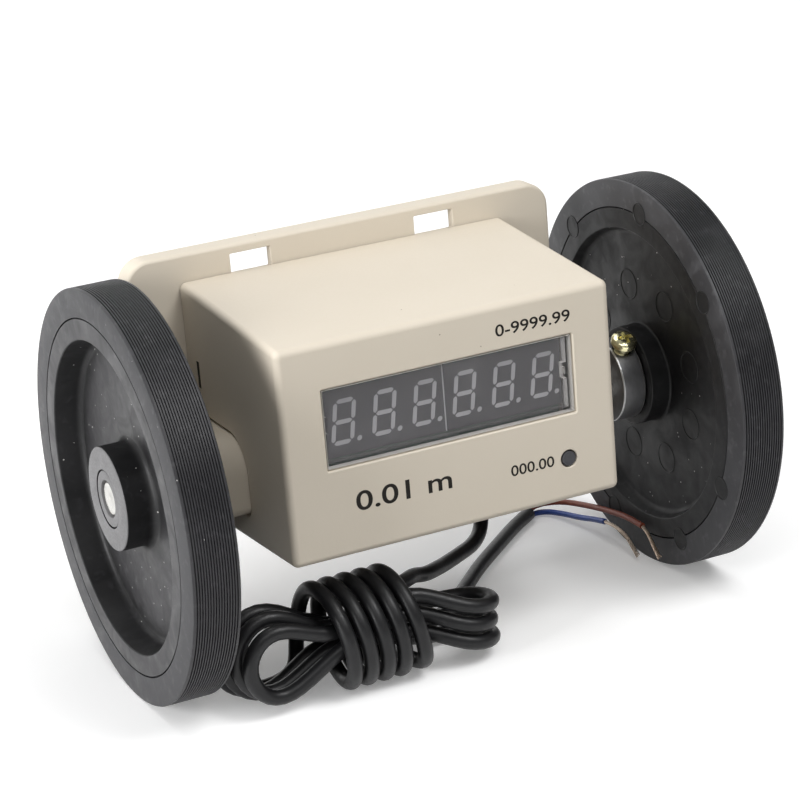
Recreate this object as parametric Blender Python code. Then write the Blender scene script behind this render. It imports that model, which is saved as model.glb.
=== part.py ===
"""Two-wheel length counter: a digital counter case carried on an axle between two measuring wheels.

The frame is in metres, +Z up. The axle lies along X, the display faces -Y, and the wheels stand on Z = 0.
"""

import math

import bmesh
import bpy
from mathutils import Matrix, Vector

MM = 0.001
SHARP_ANGLE = math.radians(35)

# Clearances that several pieces share
SEAT_GAP = 0.3 * MM
RUNNING_GAP = 0.08 * MM
CUT_OVERRUN = 2.0 * MM

# Measuring wheels: one turn rolls 0.3 m
WHEEL_TURN_LENGTH = 300.0 * MM
WHEEL_RADIUS = WHEEL_TURN_LENGTH / math.tau
WHEEL_WIDTH = 11.1 * MM
TYRE_THICKNESS = 6.65 * MM
TYRE_EDGE = 0.5 * MM
RIM_THICKNESS = 4.8 * MM
WEB_THICKNESS = 1.9 * MM
DISH_DRAFT = 1.0 * MM
INNER_DISH_DEPTH = 2.7 * MM
DISH_FILLET = 1.5 * MM
BOSS_WALL = 5.2 * MM
BOSS_PROUD_OUTSIDE = 0.75 * MM
BOSS_PROUD_INSIDE = 2.7 * MM
BOSS_EDGE = 0.3 * MM
INSERT_WALL = 2.2 * MM
INSERT_RECESS = 0.15 * MM
TYRE_STEPS = 72
HUB_STEPS = 40

# Axle shaft and what turns on it
SHAFT_RADIUS = 4.0 * MM
SHAFT_RECESS = 0.6 * MM
SHAFT_CHAMFER = 0.4 * MM
SHAFT_STEPS = 32
COLLAR_STEPS = 36
COLLAR_WALL = 5.7 * MM
COLLAR_LENGTH = 6.1 * MM
COLLAR_TO_BUSH = 6.6 * MM
COLLAR_CHAMFER = 0.4 * MM
COLLAR_SCREW_LEAN = math.radians(28)
COLLAR_SCREW_HEAD_RADIUS = 3.3 * MM
COLLAR_SCREW_HEAD_HEIGHT = 2.5 * MM
COLLAR_SCREW_RADIUS = 2.0 * MM
COLLAR_SCREW_STANDOFF = 1.5 * MM
RECESS_WIDTH_SHARE = 0.16
RECESS_LENGTH_SHARE = 0.55
RECESS_DEPTH_SHARE = 0.5
HEAD_EDGE_SHARE = 0.55
HEAD_TOP_SHARE = 0.55
SCREW_HEAD_STEPS = 18
SCREW_SHANK_STEPS = 12
SLEEVE_STEPS = 28
RING_WIDTH = 2.1 * MM
RING_THICKNESS = 0.8 * MM
RING_MOUTH = 4.4 * MM

# Encoder on the shaft: thirty slots, so each slot is 10 mm of travel
ENCODER_SLOTS = 30
ENCODER_RADIUS = 11.0 * MM
ENCODER_THICKNESS = 1.0 * MM
ENCODER_SLOT_DEPTH = 2.4 * MM
ENCODER_SLOT_SHARE = 0.5
ENCODER_HUB_WALL = 2.7 * MM
ENCODER_SPIGOT_WALL = 1.1 * MM
ENCODER_HUB_LENGTH = 5.0 * MM
ENCODER_SPIGOT_LENGTH = 3.0 * MM
ENCODER_X = -3.0 * MM

# Counter case: a drafted cover over a flat base plate
CASE_CENTRE_X = -2.8 * MM
CASE_FRONT_WIDTH = 82.2 * MM
CASE_FRONT_HEIGHT = 50.0 * MM
CASE_SIDE_DRAFT = 0.7 * MM
CASE_TOP_DRAFT = 3.9 * MM
CASE_BOTTOM_DRAFT = 1.95 * MM
CASE_DEPTH = 51.5 * MM
CASE_WALL = 2.2 * MM
CASE_EDGE = 1.6 * MM
AXLE_BEFORE_CASE_BACK = 19.6 * MM
AXLE_ABOVE_CASE_FLOOR = 14.2 * MM

# Base plate with its rim turned back and four rectangular holes for fixing it
PLATE_BESIDE_CASE = 13.55 * MM
PLATE_ABOVE_CASE = 6.6 * MM
PLATE_BELOW_CASE = 6.6 * MM
PLATE_THICKNESS = 2.4 * MM
PLATE_RIM_DEPTH = 5.65 * MM
PLATE_RIM_WALL = 1.8 * MM
PLATE_CORNER = 6.0 * MM
PLATE_CORNER_STEPS = 6
PLATE_HOLE_WIDTH = 10.2 * MM
PLATE_HOLE_HEIGHT = 5.0 * MM
PLATE_HOLE_SIDE_INSET = 25.9 * MM
PLATE_HOLE_INSET = 2.2 * MM

# Bearing pillars of the base, which pass out through slots in the cover's sides
PILLAR_TOP_ABOVE_AXLE = 9.2 * MM
PILLAR_BOTTOM_BELOW_AXLE = 8.3 * MM
PILLAR_FRONT_BEFORE_AXLE = 9.5 * MM
PILLAR_TOP_CURVE = 8.0 * MM
PILLAR_BOTTOM_CURVE = 2.2 * MM
PILLAR_CURVE_STEPS = 6
PILLAR_PROUD = 7.0 * MM
PILLAR_LENGTH = 16.5 * MM
SLOT_GAP = 0.35 * MM
BUSH_WALL = 1.42 * MM
BUSH_FLANGE_WIDTH = 1.3 * MM
BUSH_FLANGE_THICKNESS = 1.0 * MM
BUSH_STEPS = 28

# Latch slits near the back of the cover's sides
LATCH_HEIGHT = 5.8 * MM
LATCH_WIDTH = 0.9 * MM
LATCH_BEFORE_BACK = 9.0 * MM
LATCH_BELOW_TOP = 18.0 * MM

# Window and display
WINDOW_SIDE_MARGIN = 10.0 * MM
WINDOW_TOP_MARGIN = 10.5 * MM
WINDOW_BOTTOM_MARGIN = 20.7 * MM
LENS_RECESS = 0.35 * MM
LENS_PLATE = 1.2 * MM
LENS_WALL = 0.9 * MM
LENS_FLANGE_WIDTH = 1.5 * MM
LENS_FLANGE_THICKNESS = 1.0 * MM
LENS_PLAY = 0.3 * MM
MODULE_BEHIND_LENS = 2.0 * MM
MODULE_DEPTH = 6.0 * MM
MODULE_SEAM = 0.35 * MM
SEGMENT_DEPTH = 0.3 * MM
POINT_STEPS = 8
DIGIT_SLANT = math.tan(math.radians(8))

# A digit's height is a share of its module's height, and the rest are shares of the digit's height
DIGIT_HEIGHT_SHARE = 0.67
DIGIT_PITCH_SHARE = 0.935
DIGIT_WIDTH_SHARE = 0.53
SEGMENT_WIDTH_SHARE = 0.108
SEGMENT_JOINT_SHARE = 0.0235
POINT_RADIUS_SHARE = 0.0615
POINT_OFFSET_SHARE = 0.123

# Reset button, its switch and the display board
RESET_FROM_SIDE = 12.7 * MM
RESET_ABOVE_CASE_FLOOR = 10.1 * MM
RESET_RADIUS = 1.75 * MM
RESET_PROUD = 0.1 * MM
RESET_TRAVEL = 0.8 * MM
RESET_FLANGE_RADIUS = 2.6 * MM
RESET_FLANGE_THICKNESS = 0.9 * MM
RESET_STEM_RADIUS = 1.3 * MM
RESET_STEPS = 24
SWITCH_SIZE = 4.5 * MM
SWITCH_DEPTH = 3.0 * MM
BOARD_THICKNESS = 1.6 * MM
DISPLAY_BOARD_SIDE_INSET = 9.2 * MM
DISPLAY_BOARD_BOTTOM_INSET = 7.7 * MM
DISPLAY_BOARD_TOP_INSET = 4.0 * MM
DISPLAY_POST_RADIUS = 2.2 * MM
DISPLAY_POST_INSET = 4.5 * MM
BOARD_SCREW_RADIUS = 1.0 * MM
BOARD_SCREW_HEAD_RADIUS = 2.0 * MM
BOARD_SCREW_HEAD_HEIGHT = 1.5 * MM
BOARD_SCREW_BITE = 4.0 * MM
PILOT_GAP = 0.3 * MM

# Main board on the base plate
MAIN_BOARD_STANDOFF = 4.2 * MM
MAIN_BOARD_SIDE_INSET = 11.2 * MM
MAIN_BOARD_ABOVE_CASE_FLOOR = 8.05 * MM
MAIN_BOARD_BELOW_CASE_TOP = 0.55 * MM
MAIN_POST_RADIUS = 2.4 * MM
MAIN_POST_INSET = 4.0 * MM
CORE_WIDTH = 22.0 * MM
CORE_HEIGHT = 15.0 * MM
CORE_DEPTH = 14.0 * MM
CORE_LIMB = 4.0 * MM
CORE_CENTRE_LIMB = 7.0 * MM
CORE_FROM_ENCODER = 1.0 * MM
CORE_BELOW_TOP = 6.5 * MM
WINDING_BULGE = 3.0 * MM
CAPACITOR_RADIUS = 5.0 * MM
CAPACITOR_LENGTH = 13.0 * MM
CAPACITOR_CRIMP = 0.5 * MM
CAPACITOR_FROM_RIGHT = 13.0 * MM
CAPACITOR_BELOW_TOP = 11.0 * MM
CHIP_LENGTH = 16.0 * MM
CHIP_WIDTH = 7.6 * MM
CHIP_THICKNESS = 3.4 * MM
CHIP_FROM_RIGHT = 15.0 * MM
CHIP_BELOW_TOP = 24.5 * MM
SENSOR_WIDTH = 11.0 * MM
SENSOR_HEIGHT = 6.0 * MM
SENSOR_MOUTH = 3.0 * MM
SENSOR_REACH = 3.2 * MM

# Case screws, driven from the back of the plate into posts inside the cover
CASE_POST_RADIUS = 2.6 * MM
CASE_POST_SIDE_INSET = 5.6 * MM
CASE_POST_FROM_PILLAR = 12.0 * MM
CASE_POST_TOP_INSET = 4.3 * MM
CASE_POST_BOTTOM_INSET = 4.6 * MM
CASE_SCREW_RADIUS = 1.3 * MM
CASE_SCREW_HEAD_RADIUS = 2.6 * MM
CASE_SCREW_HEAD_HEIGHT = 1.8 * MM
CASE_SCREW_BITE = 9.0 * MM

# Cord: a 3.6 mm two-core lead, from the gland under the case to its stripped end
CORD_DIAMETER = 3.6 * MM
GLAND_X = 24.0 * MM
GLAND_Y = 12.0 * MM
GLAND_INSIDE = 5.0 * MM
GLAND_OUTSIDE = 10.0 * MM
GLAND_NECK_RADIUS = 3.0 * MM
GLAND_FLANGE_RADIUS = 4.1 * MM
GLAND_FLANGE_THICKNESS = 1.6 * MM
GLAND_TIP_RADIUS = 2.3 * MM
GLAND_STEPS = 24
CORD_END_GAP = 0.3 * MM

# Hank: three and a half loops drawn in at a waist of five wraps
HANK_AXIS_Y = -25.0 * MM
WRAP_RADIUS = 11.35 * MM
WRAP_TURNS = 5
WRAP_PITCH = 4.16 * MM
WRAP_LEAN = 1.2 * MM
WRAP_LEFT_X = -37.1 * MM
WRAP_EASE_IN = 8.4 * MM
WRAP_EASE_OUT = 2.4 * MM
WRAP_EASE_SHARE = 0.4
WRAP_POINTS = 12
HANK_AXIS_Z = WRAP_RADIUS + CORD_DIAMETER / 2
LOOPS = 4
LAYER_STEP = 4.58 * MM
LOOP_LAYER = 4.34 * MM
WAIST_LEFT_X = -37.6 * MM
WAIST_RIGHT_X = -14.2 * MM
WAIST_STEPS = 4
WAIST_TURN = math.radians(90)
LEFT_RADII = (8.1 * MM, 9.3 * MM, 10.15 * MM, 8.7 * MM)
LEFT_REACH = (-56.5 * MM, -57.8 * MM, -59.0 * MM, -59.6 * MM)
LEFT_CENTRE_Z = (12.4 * MM, 13.1 * MM, 12.5 * MM, 10.9 * MM)
LEFT_ARC_STEP = 46
RIGHT_RADIUS = 8.65 * MM
RIGHT_CENTRE_Y = -25.5 * MM
RIGHT_ARC_STEP = 46.3
RIGHT_REACH = (5.5 * MM, 4.9 * MM, 5.2 * MM)
HANK_ENTRY = (
    (-6.0 * MM, -15.2 * MM, 17.3 * MM),
    (-8.9 * MM, -16.5 * MM, 18.6 * MM),
)
HANK_EXIT = (
    (-15.6 * MM, -20.6 * MM, 1.8 * MM),
    (-13.5 * MM, -16.2 * MM, 1.8 * MM),
    (-11.1 * MM, -12.1 * MM, 1.8 * MM),
    (-5.6 * MM, -9.7 * MM, 1.8 * MM),
    (-1.4 * MM, -7.8 * MM, 1.8 * MM),
)
HANK_SAMPLES = 2
HANK_NEIGHBOUR_SHARE = 2.5
PARALLEL_SHARE = 1e-9

# Cord routes outside the hank, chosen by hand
LEAD_ROUTE = (
    (24.0 * MM, 12.0 * MM, 21.3 * MM),
    (23.8 * MM, 11.8 * MM, 17.0 * MM),
    (21.5 * MM, 9.0 * MM, 13.6 * MM),
    (17.0 * MM, 4.3 * MM, 12.9 * MM),
    (10.5 * MM, -1.2 * MM, 13.6 * MM),
    (3.5 * MM, -7.2 * MM, 14.8 * MM),
    (0.0 * MM, -10.35 * MM, 15.7 * MM),
)
TAIL_ROUTE = (
    (-1.1 * MM, -7.66 * MM, 1.8 * MM),
    (3.0 * MM, -5.6 * MM, 1.8 * MM),
    (8.0 * MM, -1.8 * MM, 1.8 * MM),
    (14.5 * MM, 5.0 * MM, 1.8 * MM),
    (23.8 * MM, 15.0 * MM, 1.8 * MM),
    (34.4 * MM, 25.0 * MM, 1.8 * MM),
    (43.5 * MM, 33.3 * MM, 1.8 * MM),
    (50.5 * MM, 38.8 * MM, 1.8 * MM),
)
CORE_DIAMETER = 1.5 * MM
BROWN_ROUTE = (
    (50.8 * MM, 39.0 * MM, 2.6 * MM),
    (53.8 * MM, 40.4 * MM, 2.8 * MM),
    (56.8 * MM, 39.0 * MM, 3.3 * MM),
    (59.0 * MM, 35.2 * MM, 4.1 * MM),
    (60.2 * MM, 29.0 * MM, 5.2 * MM),
    (60.7 * MM, 19.0 * MM, 7.0 * MM),
    (60.7 * MM, 7.0 * MM, 8.8 * MM),
    (60.5 * MM, -2.5 * MM, 9.2 * MM),
)
BLUE_ROUTE = (
    (50.8 * MM, 39.0 * MM, 0.95 * MM),
    (53.6 * MM, 40.0 * MM, 0.9 * MM),
    (56.2 * MM, 38.2 * MM, 1.1 * MM),
    (57.8 * MM, 33.4 * MM, 1.7 * MM),
    (58.8 * MM, 26.0 * MM, 2.8 * MM),
    (59.3 * MM, 19.5 * MM, 4.2 * MM),
    (59.4 * MM, 14.5 * MM, 5.2 * MM),
)
STRAND_DIAMETER = 0.9 * MM
BROWN_STRAND_ROUTE = (
    (60.4 * MM, -2.8 * MM, 9.15 * MM),
    (60.2 * MM, -5.6 * MM, 8.0 * MM),
    (59.9 * MM, -8.6 * MM, 5.8 * MM),
    (59.5 * MM, -11.8 * MM, 4.0 * MM),
)
BLUE_STRAND_ROUTE = (
    (59.4 * MM, 14.2 * MM, 5.25 * MM),
    (59.5 * MM, 9.5 * MM, 5.4 * MM),
    (59.5 * MM, 4.5 * MM, 4.6 * MM),
    (59.2 * MM, 0.5 * MM, 2.8 * MM),
    (58.8 * MM, -2.5 * MM, 1.6 * MM),
)

# Sizes and places that follow from the sizes above
SHAFT_BORE_RADIUS = SHAFT_RADIUS + SEAT_GAP
RIM_RADIUS = WHEEL_RADIUS - TYRE_THICKNESS - SEAT_GAP
DISH_RADIUS = RIM_RADIUS - RIM_THICKNESS
INSERT_RADIUS = SHAFT_BORE_RADIUS + INSERT_WALL
BOSS_RADIUS = INSERT_RADIUS + SEAT_GAP + BOSS_WALL
COLLAR_RADIUS = SHAFT_BORE_RADIUS + COLLAR_WALL
RING_RADIUS = SHAFT_BORE_RADIUS + RING_WIDTH
ENCODER_HUB_RADIUS = SHAFT_BORE_RADIUS + ENCODER_HUB_WALL
ENCODER_SPIGOT_RADIUS = SHAFT_BORE_RADIUS + ENCODER_SPIGOT_WALL
ENCODER_SHOULDER_X = ENCODER_X - ENCODER_THICKNESS / 2 - SEAT_GAP
BUSH_BORE_RADIUS = SHAFT_RADIUS + RUNNING_GAP
BUSH_RADIUS = BUSH_BORE_RADIUS + BUSH_WALL
BUSH_FLANGE_RADIUS = BUSH_RADIUS + BUSH_FLANGE_WIDTH
AXLE_Z = WHEEL_RADIUS
CASE_BACK_Y = AXLE_BEFORE_CASE_BACK
CASE_FRONT_Y = CASE_BACK_Y - CASE_DEPTH
CASE_FLOOR_Z = AXLE_Z - AXLE_ABOVE_CASE_FLOOR
CASE_TOP_Z = CASE_FLOOR_Z + CASE_FRONT_HEIGHT
CASE_BACK_FLOOR_Z = CASE_FLOOR_Z - CASE_BOTTOM_DRAFT
CASE_BACK_TOP_Z = CASE_TOP_Z + CASE_TOP_DRAFT
CASE_RIGHT_X = CASE_CENTRE_X + CASE_FRONT_WIDTH / 2
PILLAR_RIGHT_X = CASE_RIGHT_X + PILLAR_PROUD
COLLAR_LOW_X = PILLAR_RIGHT_X + SEAT_GAP + BUSH_FLANGE_THICKNESS + COLLAR_TO_BUSH
COLLAR_HIGH_X = COLLAR_LOW_X + COLLAR_LENGTH
BOSS_IN = COLLAR_HIGH_X + SEAT_GAP
WHEEL_INSIDE = BOSS_IN + BOSS_PROUD_INSIDE
WHEEL_FACE = WHEEL_INSIDE + WHEEL_WIDTH
BOSS_OUT = WHEEL_FACE + BOSS_PROUD_OUTSIDE
PLATE_WIDTH = CASE_FRONT_WIDTH + 2 * PLATE_BESIDE_CASE
PLATE_Y = CASE_BACK_Y + SEAT_GAP
PLATE_BACK_Y = PLATE_Y + PLATE_THICKNESS
PLATE_RIM_Y = PLATE_Y + PLATE_RIM_DEPTH
PLATE_TOP_Z = CASE_BACK_TOP_Z + PLATE_ABOVE_CASE
PLATE_BOTTOM_Z = CASE_BACK_FLOOR_Z - PLATE_BELOW_CASE
WINDOW_WIDTH = CASE_FRONT_WIDTH - 2 * WINDOW_SIDE_MARGIN
WINDOW_HEIGHT = CASE_FRONT_HEIGHT - WINDOW_TOP_MARGIN - WINDOW_BOTTOM_MARGIN
WINDOW_Z = CASE_FLOOR_Z + WINDOW_BOTTOM_MARGIN
LENS_FRONT_Y = CASE_FRONT_Y + LENS_RECESS
COVER_INSIDE_Y = CASE_FRONT_Y + CASE_WALL
LENS_BACK_Y = COVER_INSIDE_Y + SEAT_GAP + LENS_FLANGE_THICKNESS
MODULE_INSET = LENS_PLAY + LENS_WALL + SEAT_GAP
MODULE_HEIGHT = WINDOW_HEIGHT - 2 * MODULE_INSET
MODULE_FRONT_Y = LENS_FRONT_Y + LENS_PLATE + MODULE_BEHIND_LENS
MODULE_BACK_Y = MODULE_FRONT_Y + MODULE_DEPTH
DIGIT_HEIGHT = MODULE_HEIGHT * DIGIT_HEIGHT_SHARE
DIGIT_PITCH = DIGIT_HEIGHT * DIGIT_PITCH_SHARE
DIGIT_WIDTH = DIGIT_HEIGHT * DIGIT_WIDTH_SHARE
SEGMENT_WIDTH = DIGIT_HEIGHT * SEGMENT_WIDTH_SHARE
SEGMENT_JOINT = DIGIT_HEIGHT * SEGMENT_JOINT_SHARE
POINT_RADIUS = DIGIT_HEIGHT * POINT_RADIUS_SHARE
POINT_OFFSET = DIGIT_HEIGHT * POINT_OFFSET_SHARE
DISPLAY_BOARD_Y = MODULE_BACK_Y + SEAT_GAP
RESET_X = CASE_RIGHT_X - RESET_FROM_SIDE
RESET_Z = CASE_FLOOR_Z + RESET_ABOVE_CASE_FLOOR
MAIN_BOARD_Y = PLATE_Y - MAIN_BOARD_STANDOFF - SEAT_GAP - BOARD_THICKNESS
MAIN_BOARD_BOTTOM = CASE_FLOOR_Z + MAIN_BOARD_ABOVE_CASE_FLOOR
MAIN_BOARD_TOP = CASE_TOP_Z - MAIN_BOARD_BELOW_CASE_TOP


def clear_scene():
    for item in list(bpy.data.objects):
        bpy.data.objects.remove(item)


def material(name, colour, roughness, metallic=0.0):
    result = bpy.data.materials.new(name)
    result.use_nodes = True
    shader = result.node_tree.nodes["Principled BSDF"]
    shader.inputs["Base Color"].default_value = (*colour, 1.0)
    shader.inputs["Roughness"].default_value = roughness
    shader.inputs["Metallic"].default_value = metallic
    return result


def make_materials():
    return {
        "ivory": material("ivory_plastic", (0.62, 0.55, 0.44), 0.5),
        "black": material("black_plastic", (0.035, 0.035, 0.038), 0.5),
        "tyre": material("tyre_rubber", (0.03, 0.03, 0.033), 0.7),
        "steel": material("bright_steel", (0.62, 0.61, 0.59), 0.3, 1.0),
        "collar": material("dull_steel", (0.22, 0.22, 0.23), 0.45, 1.0),
        "zinc": material("yellow_zinc", (0.75, 0.66, 0.36), 0.28, 1.0),
        "bronze": material("bearing_bronze", (0.56, 0.36, 0.18), 0.4, 1.0),
        "clear": material("clear_plastic", (0.8, 0.8, 0.78), 0.1),
        "display": material("display_grey", (0.1, 0.1, 0.11), 0.4),
        "button": material("button_grey", (0.05, 0.05, 0.055), 0.5),
        "board": material("circuit_board", (0.05, 0.2, 0.09), 0.5),
        "iron": material("core_iron", (0.2, 0.2, 0.21), 0.5, 1.0),
        "winding": material("winding_tape", (0.62, 0.45, 0.08), 0.45),
        "can": material("capacitor_sleeve", (0.03, 0.05, 0.12), 0.35),
        "chip": material("chip_black", (0.02, 0.02, 0.02), 0.5),
        "disc": material("encoder_film", (0.06, 0.06, 0.06), 0.3),
        "cord": material("cord_black", (0.02, 0.02, 0.021), 0.42),
        "brown": material("core_brown", (0.23, 0.06, 0.025), 0.45),
        "blue": material("core_blue", (0.03, 0.07, 0.33), 0.45),
        "copper": material("tinned_copper", (0.6, 0.56, 0.5), 0.35, 1.0),
    }


def link(name, data, place=(0, 0, 0)):
    result = bpy.data.objects.new(name, data)
    result.location = place
    bpy.context.collection.objects.link(result)
    return result


def object_from(name, bm, finish=None, place=(0, 0, 0)):
    bmesh.ops.recalc_face_normals(bm, faces=bm.faces)
    mesh = bpy.data.meshes.new(name)
    bm.to_mesh(mesh)
    bm.free()
    smooth(mesh)
    if finish:
        mesh.materials.append(finish)
    return link(name, mesh, place)


def smooth(mesh):
    mesh.shade_smooth()
    mesh.set_sharp_from_angle(angle=SHARP_ANGLE)


def attach(piece, carrier):
    """Parent a piece to what carries it, and leave it where it is."""
    piece.location -= carrier.location
    piece.parent = carrier


def body(name, place, pieces):
    """An empty on a joint's axis, which carries the pieces that move with it."""
    carrier = link(name, None, place)
    for piece in pieces:
        attach(piece, carrier)


def combine(target, tool, operation):
    tool.hide_render = True
    tool.display_type = "WIRE"
    attach(tool, target)
    modifier = target.modifiers.new(tool.name, "BOOLEAN")
    modifier.object = tool
    modifier.operation = operation
    modifier.solver = "EXACT"


def cut(target, tool):
    combine(target, tool, "DIFFERENCE")


def join(target, tool):
    combine(target, tool, "UNION")


def box(name, low, high, finish=None):
    bm = bmesh.new()
    bmesh.ops.create_cube(bm, size=1.0)
    bmesh.ops.scale(bm, vec=Vector(high) - Vector(low), verts=bm.verts)
    return object_from(name, bm, finish, (Vector(low) + Vector(high)) / 2)


def axes_of(direction):
    along = Vector(direction).normalized()
    start = Vector((0, 0, 1)) if abs(along.z) < 0.9 else Vector((0, -1, 0))
    across = (start - along * start.dot(along)).normalized()
    return along, across, along.cross(across)


def turned(name, profile, steps, origin, direction, finish=None):
    """Turn a closed (distance along, radius) outline about a line through origin."""
    along, across, other = axes_of(direction)
    bm = bmesh.new()
    rings = []
    for distance, radius in profile:
        centre = along * distance
        if radius == 0:
            rings.append([bm.verts.new(centre)])
            continue
        ring = []
        for step in range(steps):
            angle = math.tau * step / steps
            spoke = across * math.cos(angle) + other * math.sin(angle)
            ring.append(bm.verts.new(centre + spoke * radius))
        rings.append(ring)
    closed = all(len(ring) > 1 for ring in rings)
    pairs = list(zip(rings, rings[1:]))
    if closed:
        pairs.append((rings[-1], rings[0]))
    for first, second in pairs:
        for step in range(steps):
            after = (step + 1) % steps
            corners = [first[step % len(first)], first[after % len(first)]]
            corners += [second[after % len(second)], second[step % len(second)]]
            distinct = list(dict.fromkeys(corners))
            if len(distinct) > 2:
                bm.faces.new(distinct)
    return object_from(name, bm, finish, origin)


def disc_profile(low, high, radius, chamfer=0.0):
    if chamfer == 0:
        return [(low, 0), (low, radius), (high, radius), (high, 0)]
    inner = radius - chamfer
    return [(low, 0), (low, inner), (low + chamfer, radius),
            (high - chamfer, radius), (high, inner), (high, 0)]


def ring_profile(low, high, inside, outside, chamfer=0.0):
    if chamfer == 0:
        return [(low, inside), (low, outside), (high, outside), (high, inside)]
    small = outside - chamfer
    return [(low, inside), (low, small), (low + chamfer, outside),
            (high - chamfer, outside), (high, small), (high, inside)]


def span_loops(bm, near, far):
    """Close a body between two loops of as many points."""
    first = [bm.verts.new(point) for point in near]
    last = [bm.verts.new(point) for point in far]
    bm.faces.new(first)
    bm.faces.new(list(reversed(last)))
    for index in range(len(first)):
        after = (index + 1) % len(first)
        bm.faces.new((first[after], first[index], last[index], last[after]))


def prism(name, outline, low, high, axis, finish=None, origin=(0, 0, 0)):
    """Extrude an outline of two coordinates along X, Y or Z from low to high."""
    def loop(depth):
        if axis == "X":
            return [(depth, first, second) for first, second in outline]
        if axis == "Y":
            return [(first, depth, second) for first, second in outline]
        return [(first, second, depth) for first, second in outline]

    bm = bmesh.new()
    span_loops(bm, loop(low), loop(high))
    return object_from(name, bm, finish, origin)


def arc(centre, radius, start, end, steps):
    points = []
    for step in range(steps + 1):
        angle = start + (end - start) * step / steps
        points.append((centre[0] + radius * math.cos(angle), centre[1] + radius * math.sin(angle)))
    return points


def rounded_outline(low, high, radius, steps):
    right, top = high[0] - radius, high[1] - radius
    left, bottom = low[0] + radius, low[1] + radius
    quarter = math.pi / 2
    points = []
    points += arc((right, top), radius, 0, quarter, steps)
    points += arc((left, top), radius, quarter, 2 * quarter, steps)
    points += arc((left, bottom), radius, 2 * quarter, 3 * quarter, steps)
    points += arc((right, bottom), radius, 3 * quarter, 4 * quarter, steps)
    return points


def tyre(name, side, finish):
    inside = RIM_RADIUS + SEAT_GAP
    profile = ring_profile(WHEEL_INSIDE, WHEEL_FACE, inside, WHEEL_RADIUS, TYRE_EDGE)
    return turned(name, profile, TYRE_STEPS, (0, 0, AXLE_Z), (side, 0, 0), finish)


def hub_profile():
    web_in = WHEEL_INSIDE + INNER_DISH_DEPTH
    web_out = web_in + WEB_THICKNESS
    dish_floor = DISH_RADIUS - DISH_DRAFT
    bore = INSERT_RADIUS + SEAT_GAP
    return [
        (BOSS_IN, bore),
        (BOSS_IN, BOSS_RADIUS - BOSS_EDGE),
        (BOSS_IN + BOSS_EDGE, BOSS_RADIUS),
        (web_in - DISH_FILLET, BOSS_RADIUS),
        (web_in, BOSS_RADIUS + DISH_FILLET),
        (web_in, dish_floor - DISH_FILLET),
        (web_in - DISH_FILLET, dish_floor),
        (WHEEL_INSIDE, DISH_RADIUS),
        (WHEEL_INSIDE, RIM_RADIUS),
        (WHEEL_FACE, RIM_RADIUS),
        (WHEEL_FACE, DISH_RADIUS),
        (web_out + DISH_FILLET, dish_floor),
        (web_out, dish_floor - DISH_FILLET),
        (web_out, BOSS_RADIUS + DISH_FILLET),
        (web_out + DISH_FILLET, BOSS_RADIUS),
        (BOSS_OUT - BOSS_EDGE, BOSS_RADIUS),
        (BOSS_OUT, BOSS_RADIUS - BOSS_EDGE),
        (BOSS_OUT, bore),
    ]


def wheel(side_name, side, finishes):
    centre = (0, 0, AXLE_Z)
    black = finishes["black"]
    rim = tyre(side_name + "_tyre", side, finishes["tyre"])
    hub = turned(side_name + "_wheel_hub", hub_profile(), HUB_STEPS, centre, (side, 0, 0), black)
    profile = ring_profile(BOSS_IN, BOSS_OUT - INSERT_RECESS, SHAFT_BORE_RADIUS, INSERT_RADIUS)
    insert = turned(side_name + "_hub_insert", profile, SLEEVE_STEPS, centre, (side, 0, 0), black)
    return [rim, hub, insert]


def axle_shaft(finishes):
    reach = BOSS_OUT - SHAFT_RECESS
    profile = disc_profile(-reach, reach, SHAFT_RADIUS, SHAFT_CHAMFER)
    return [turned("axle_shaft", profile, SHAFT_STEPS, (0, 0, AXLE_Z), (1, 0, 0), finishes["steel"])]


def screw(name, origin, direction, head_radius, head_height, shank_radius, shank_length, finish):
    """A cross-recessed pan screw. The origin is under the head, and direction points out of the head."""
    edge = head_height * HEAD_EDGE_SHARE
    profile = [
        (-shank_length, 0),
        (-shank_length, shank_radius / 2),
        (-shank_length + shank_radius, shank_radius),
        (0, shank_radius),
        (0, head_radius),
        (edge, head_radius),
        (head_height, head_radius * HEAD_TOP_SHARE),
        (head_height, 0),
    ]
    piece = turned(name, profile, SCREW_HEAD_STEPS, origin, direction, finish)
    along, across, other = axes_of(direction)
    depth = head_height * RECESS_DEPTH_SHARE
    half_width = head_radius * RECESS_WIDTH_SHARE
    half_length = head_radius * RECESS_LENGTH_SHARE
    floor = along * (head_height - depth)
    near = [floor + across * u + other * v for u, v in cross_outline(half_width, half_length)]
    far = [point + along * (depth + CUT_OVERRUN) for point in near]
    bm = bmesh.new()
    span_loops(bm, near, far)
    cut(piece, object_from(name + "_recess", bm, None, origin))
    return piece


def cross_outline(half_width, half_length):
    quarter = [(half_length, -half_width), (half_length, half_width), (half_width, half_width)]
    points = []
    for turn in range(4):
        cosine = round(math.cos(turn * math.pi / 2))
        sine = round(math.sin(turn * math.pi / 2))
        points += [(u * cosine - v * sine, u * sine + v * cosine) for u, v in quarter]
    return points


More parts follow.
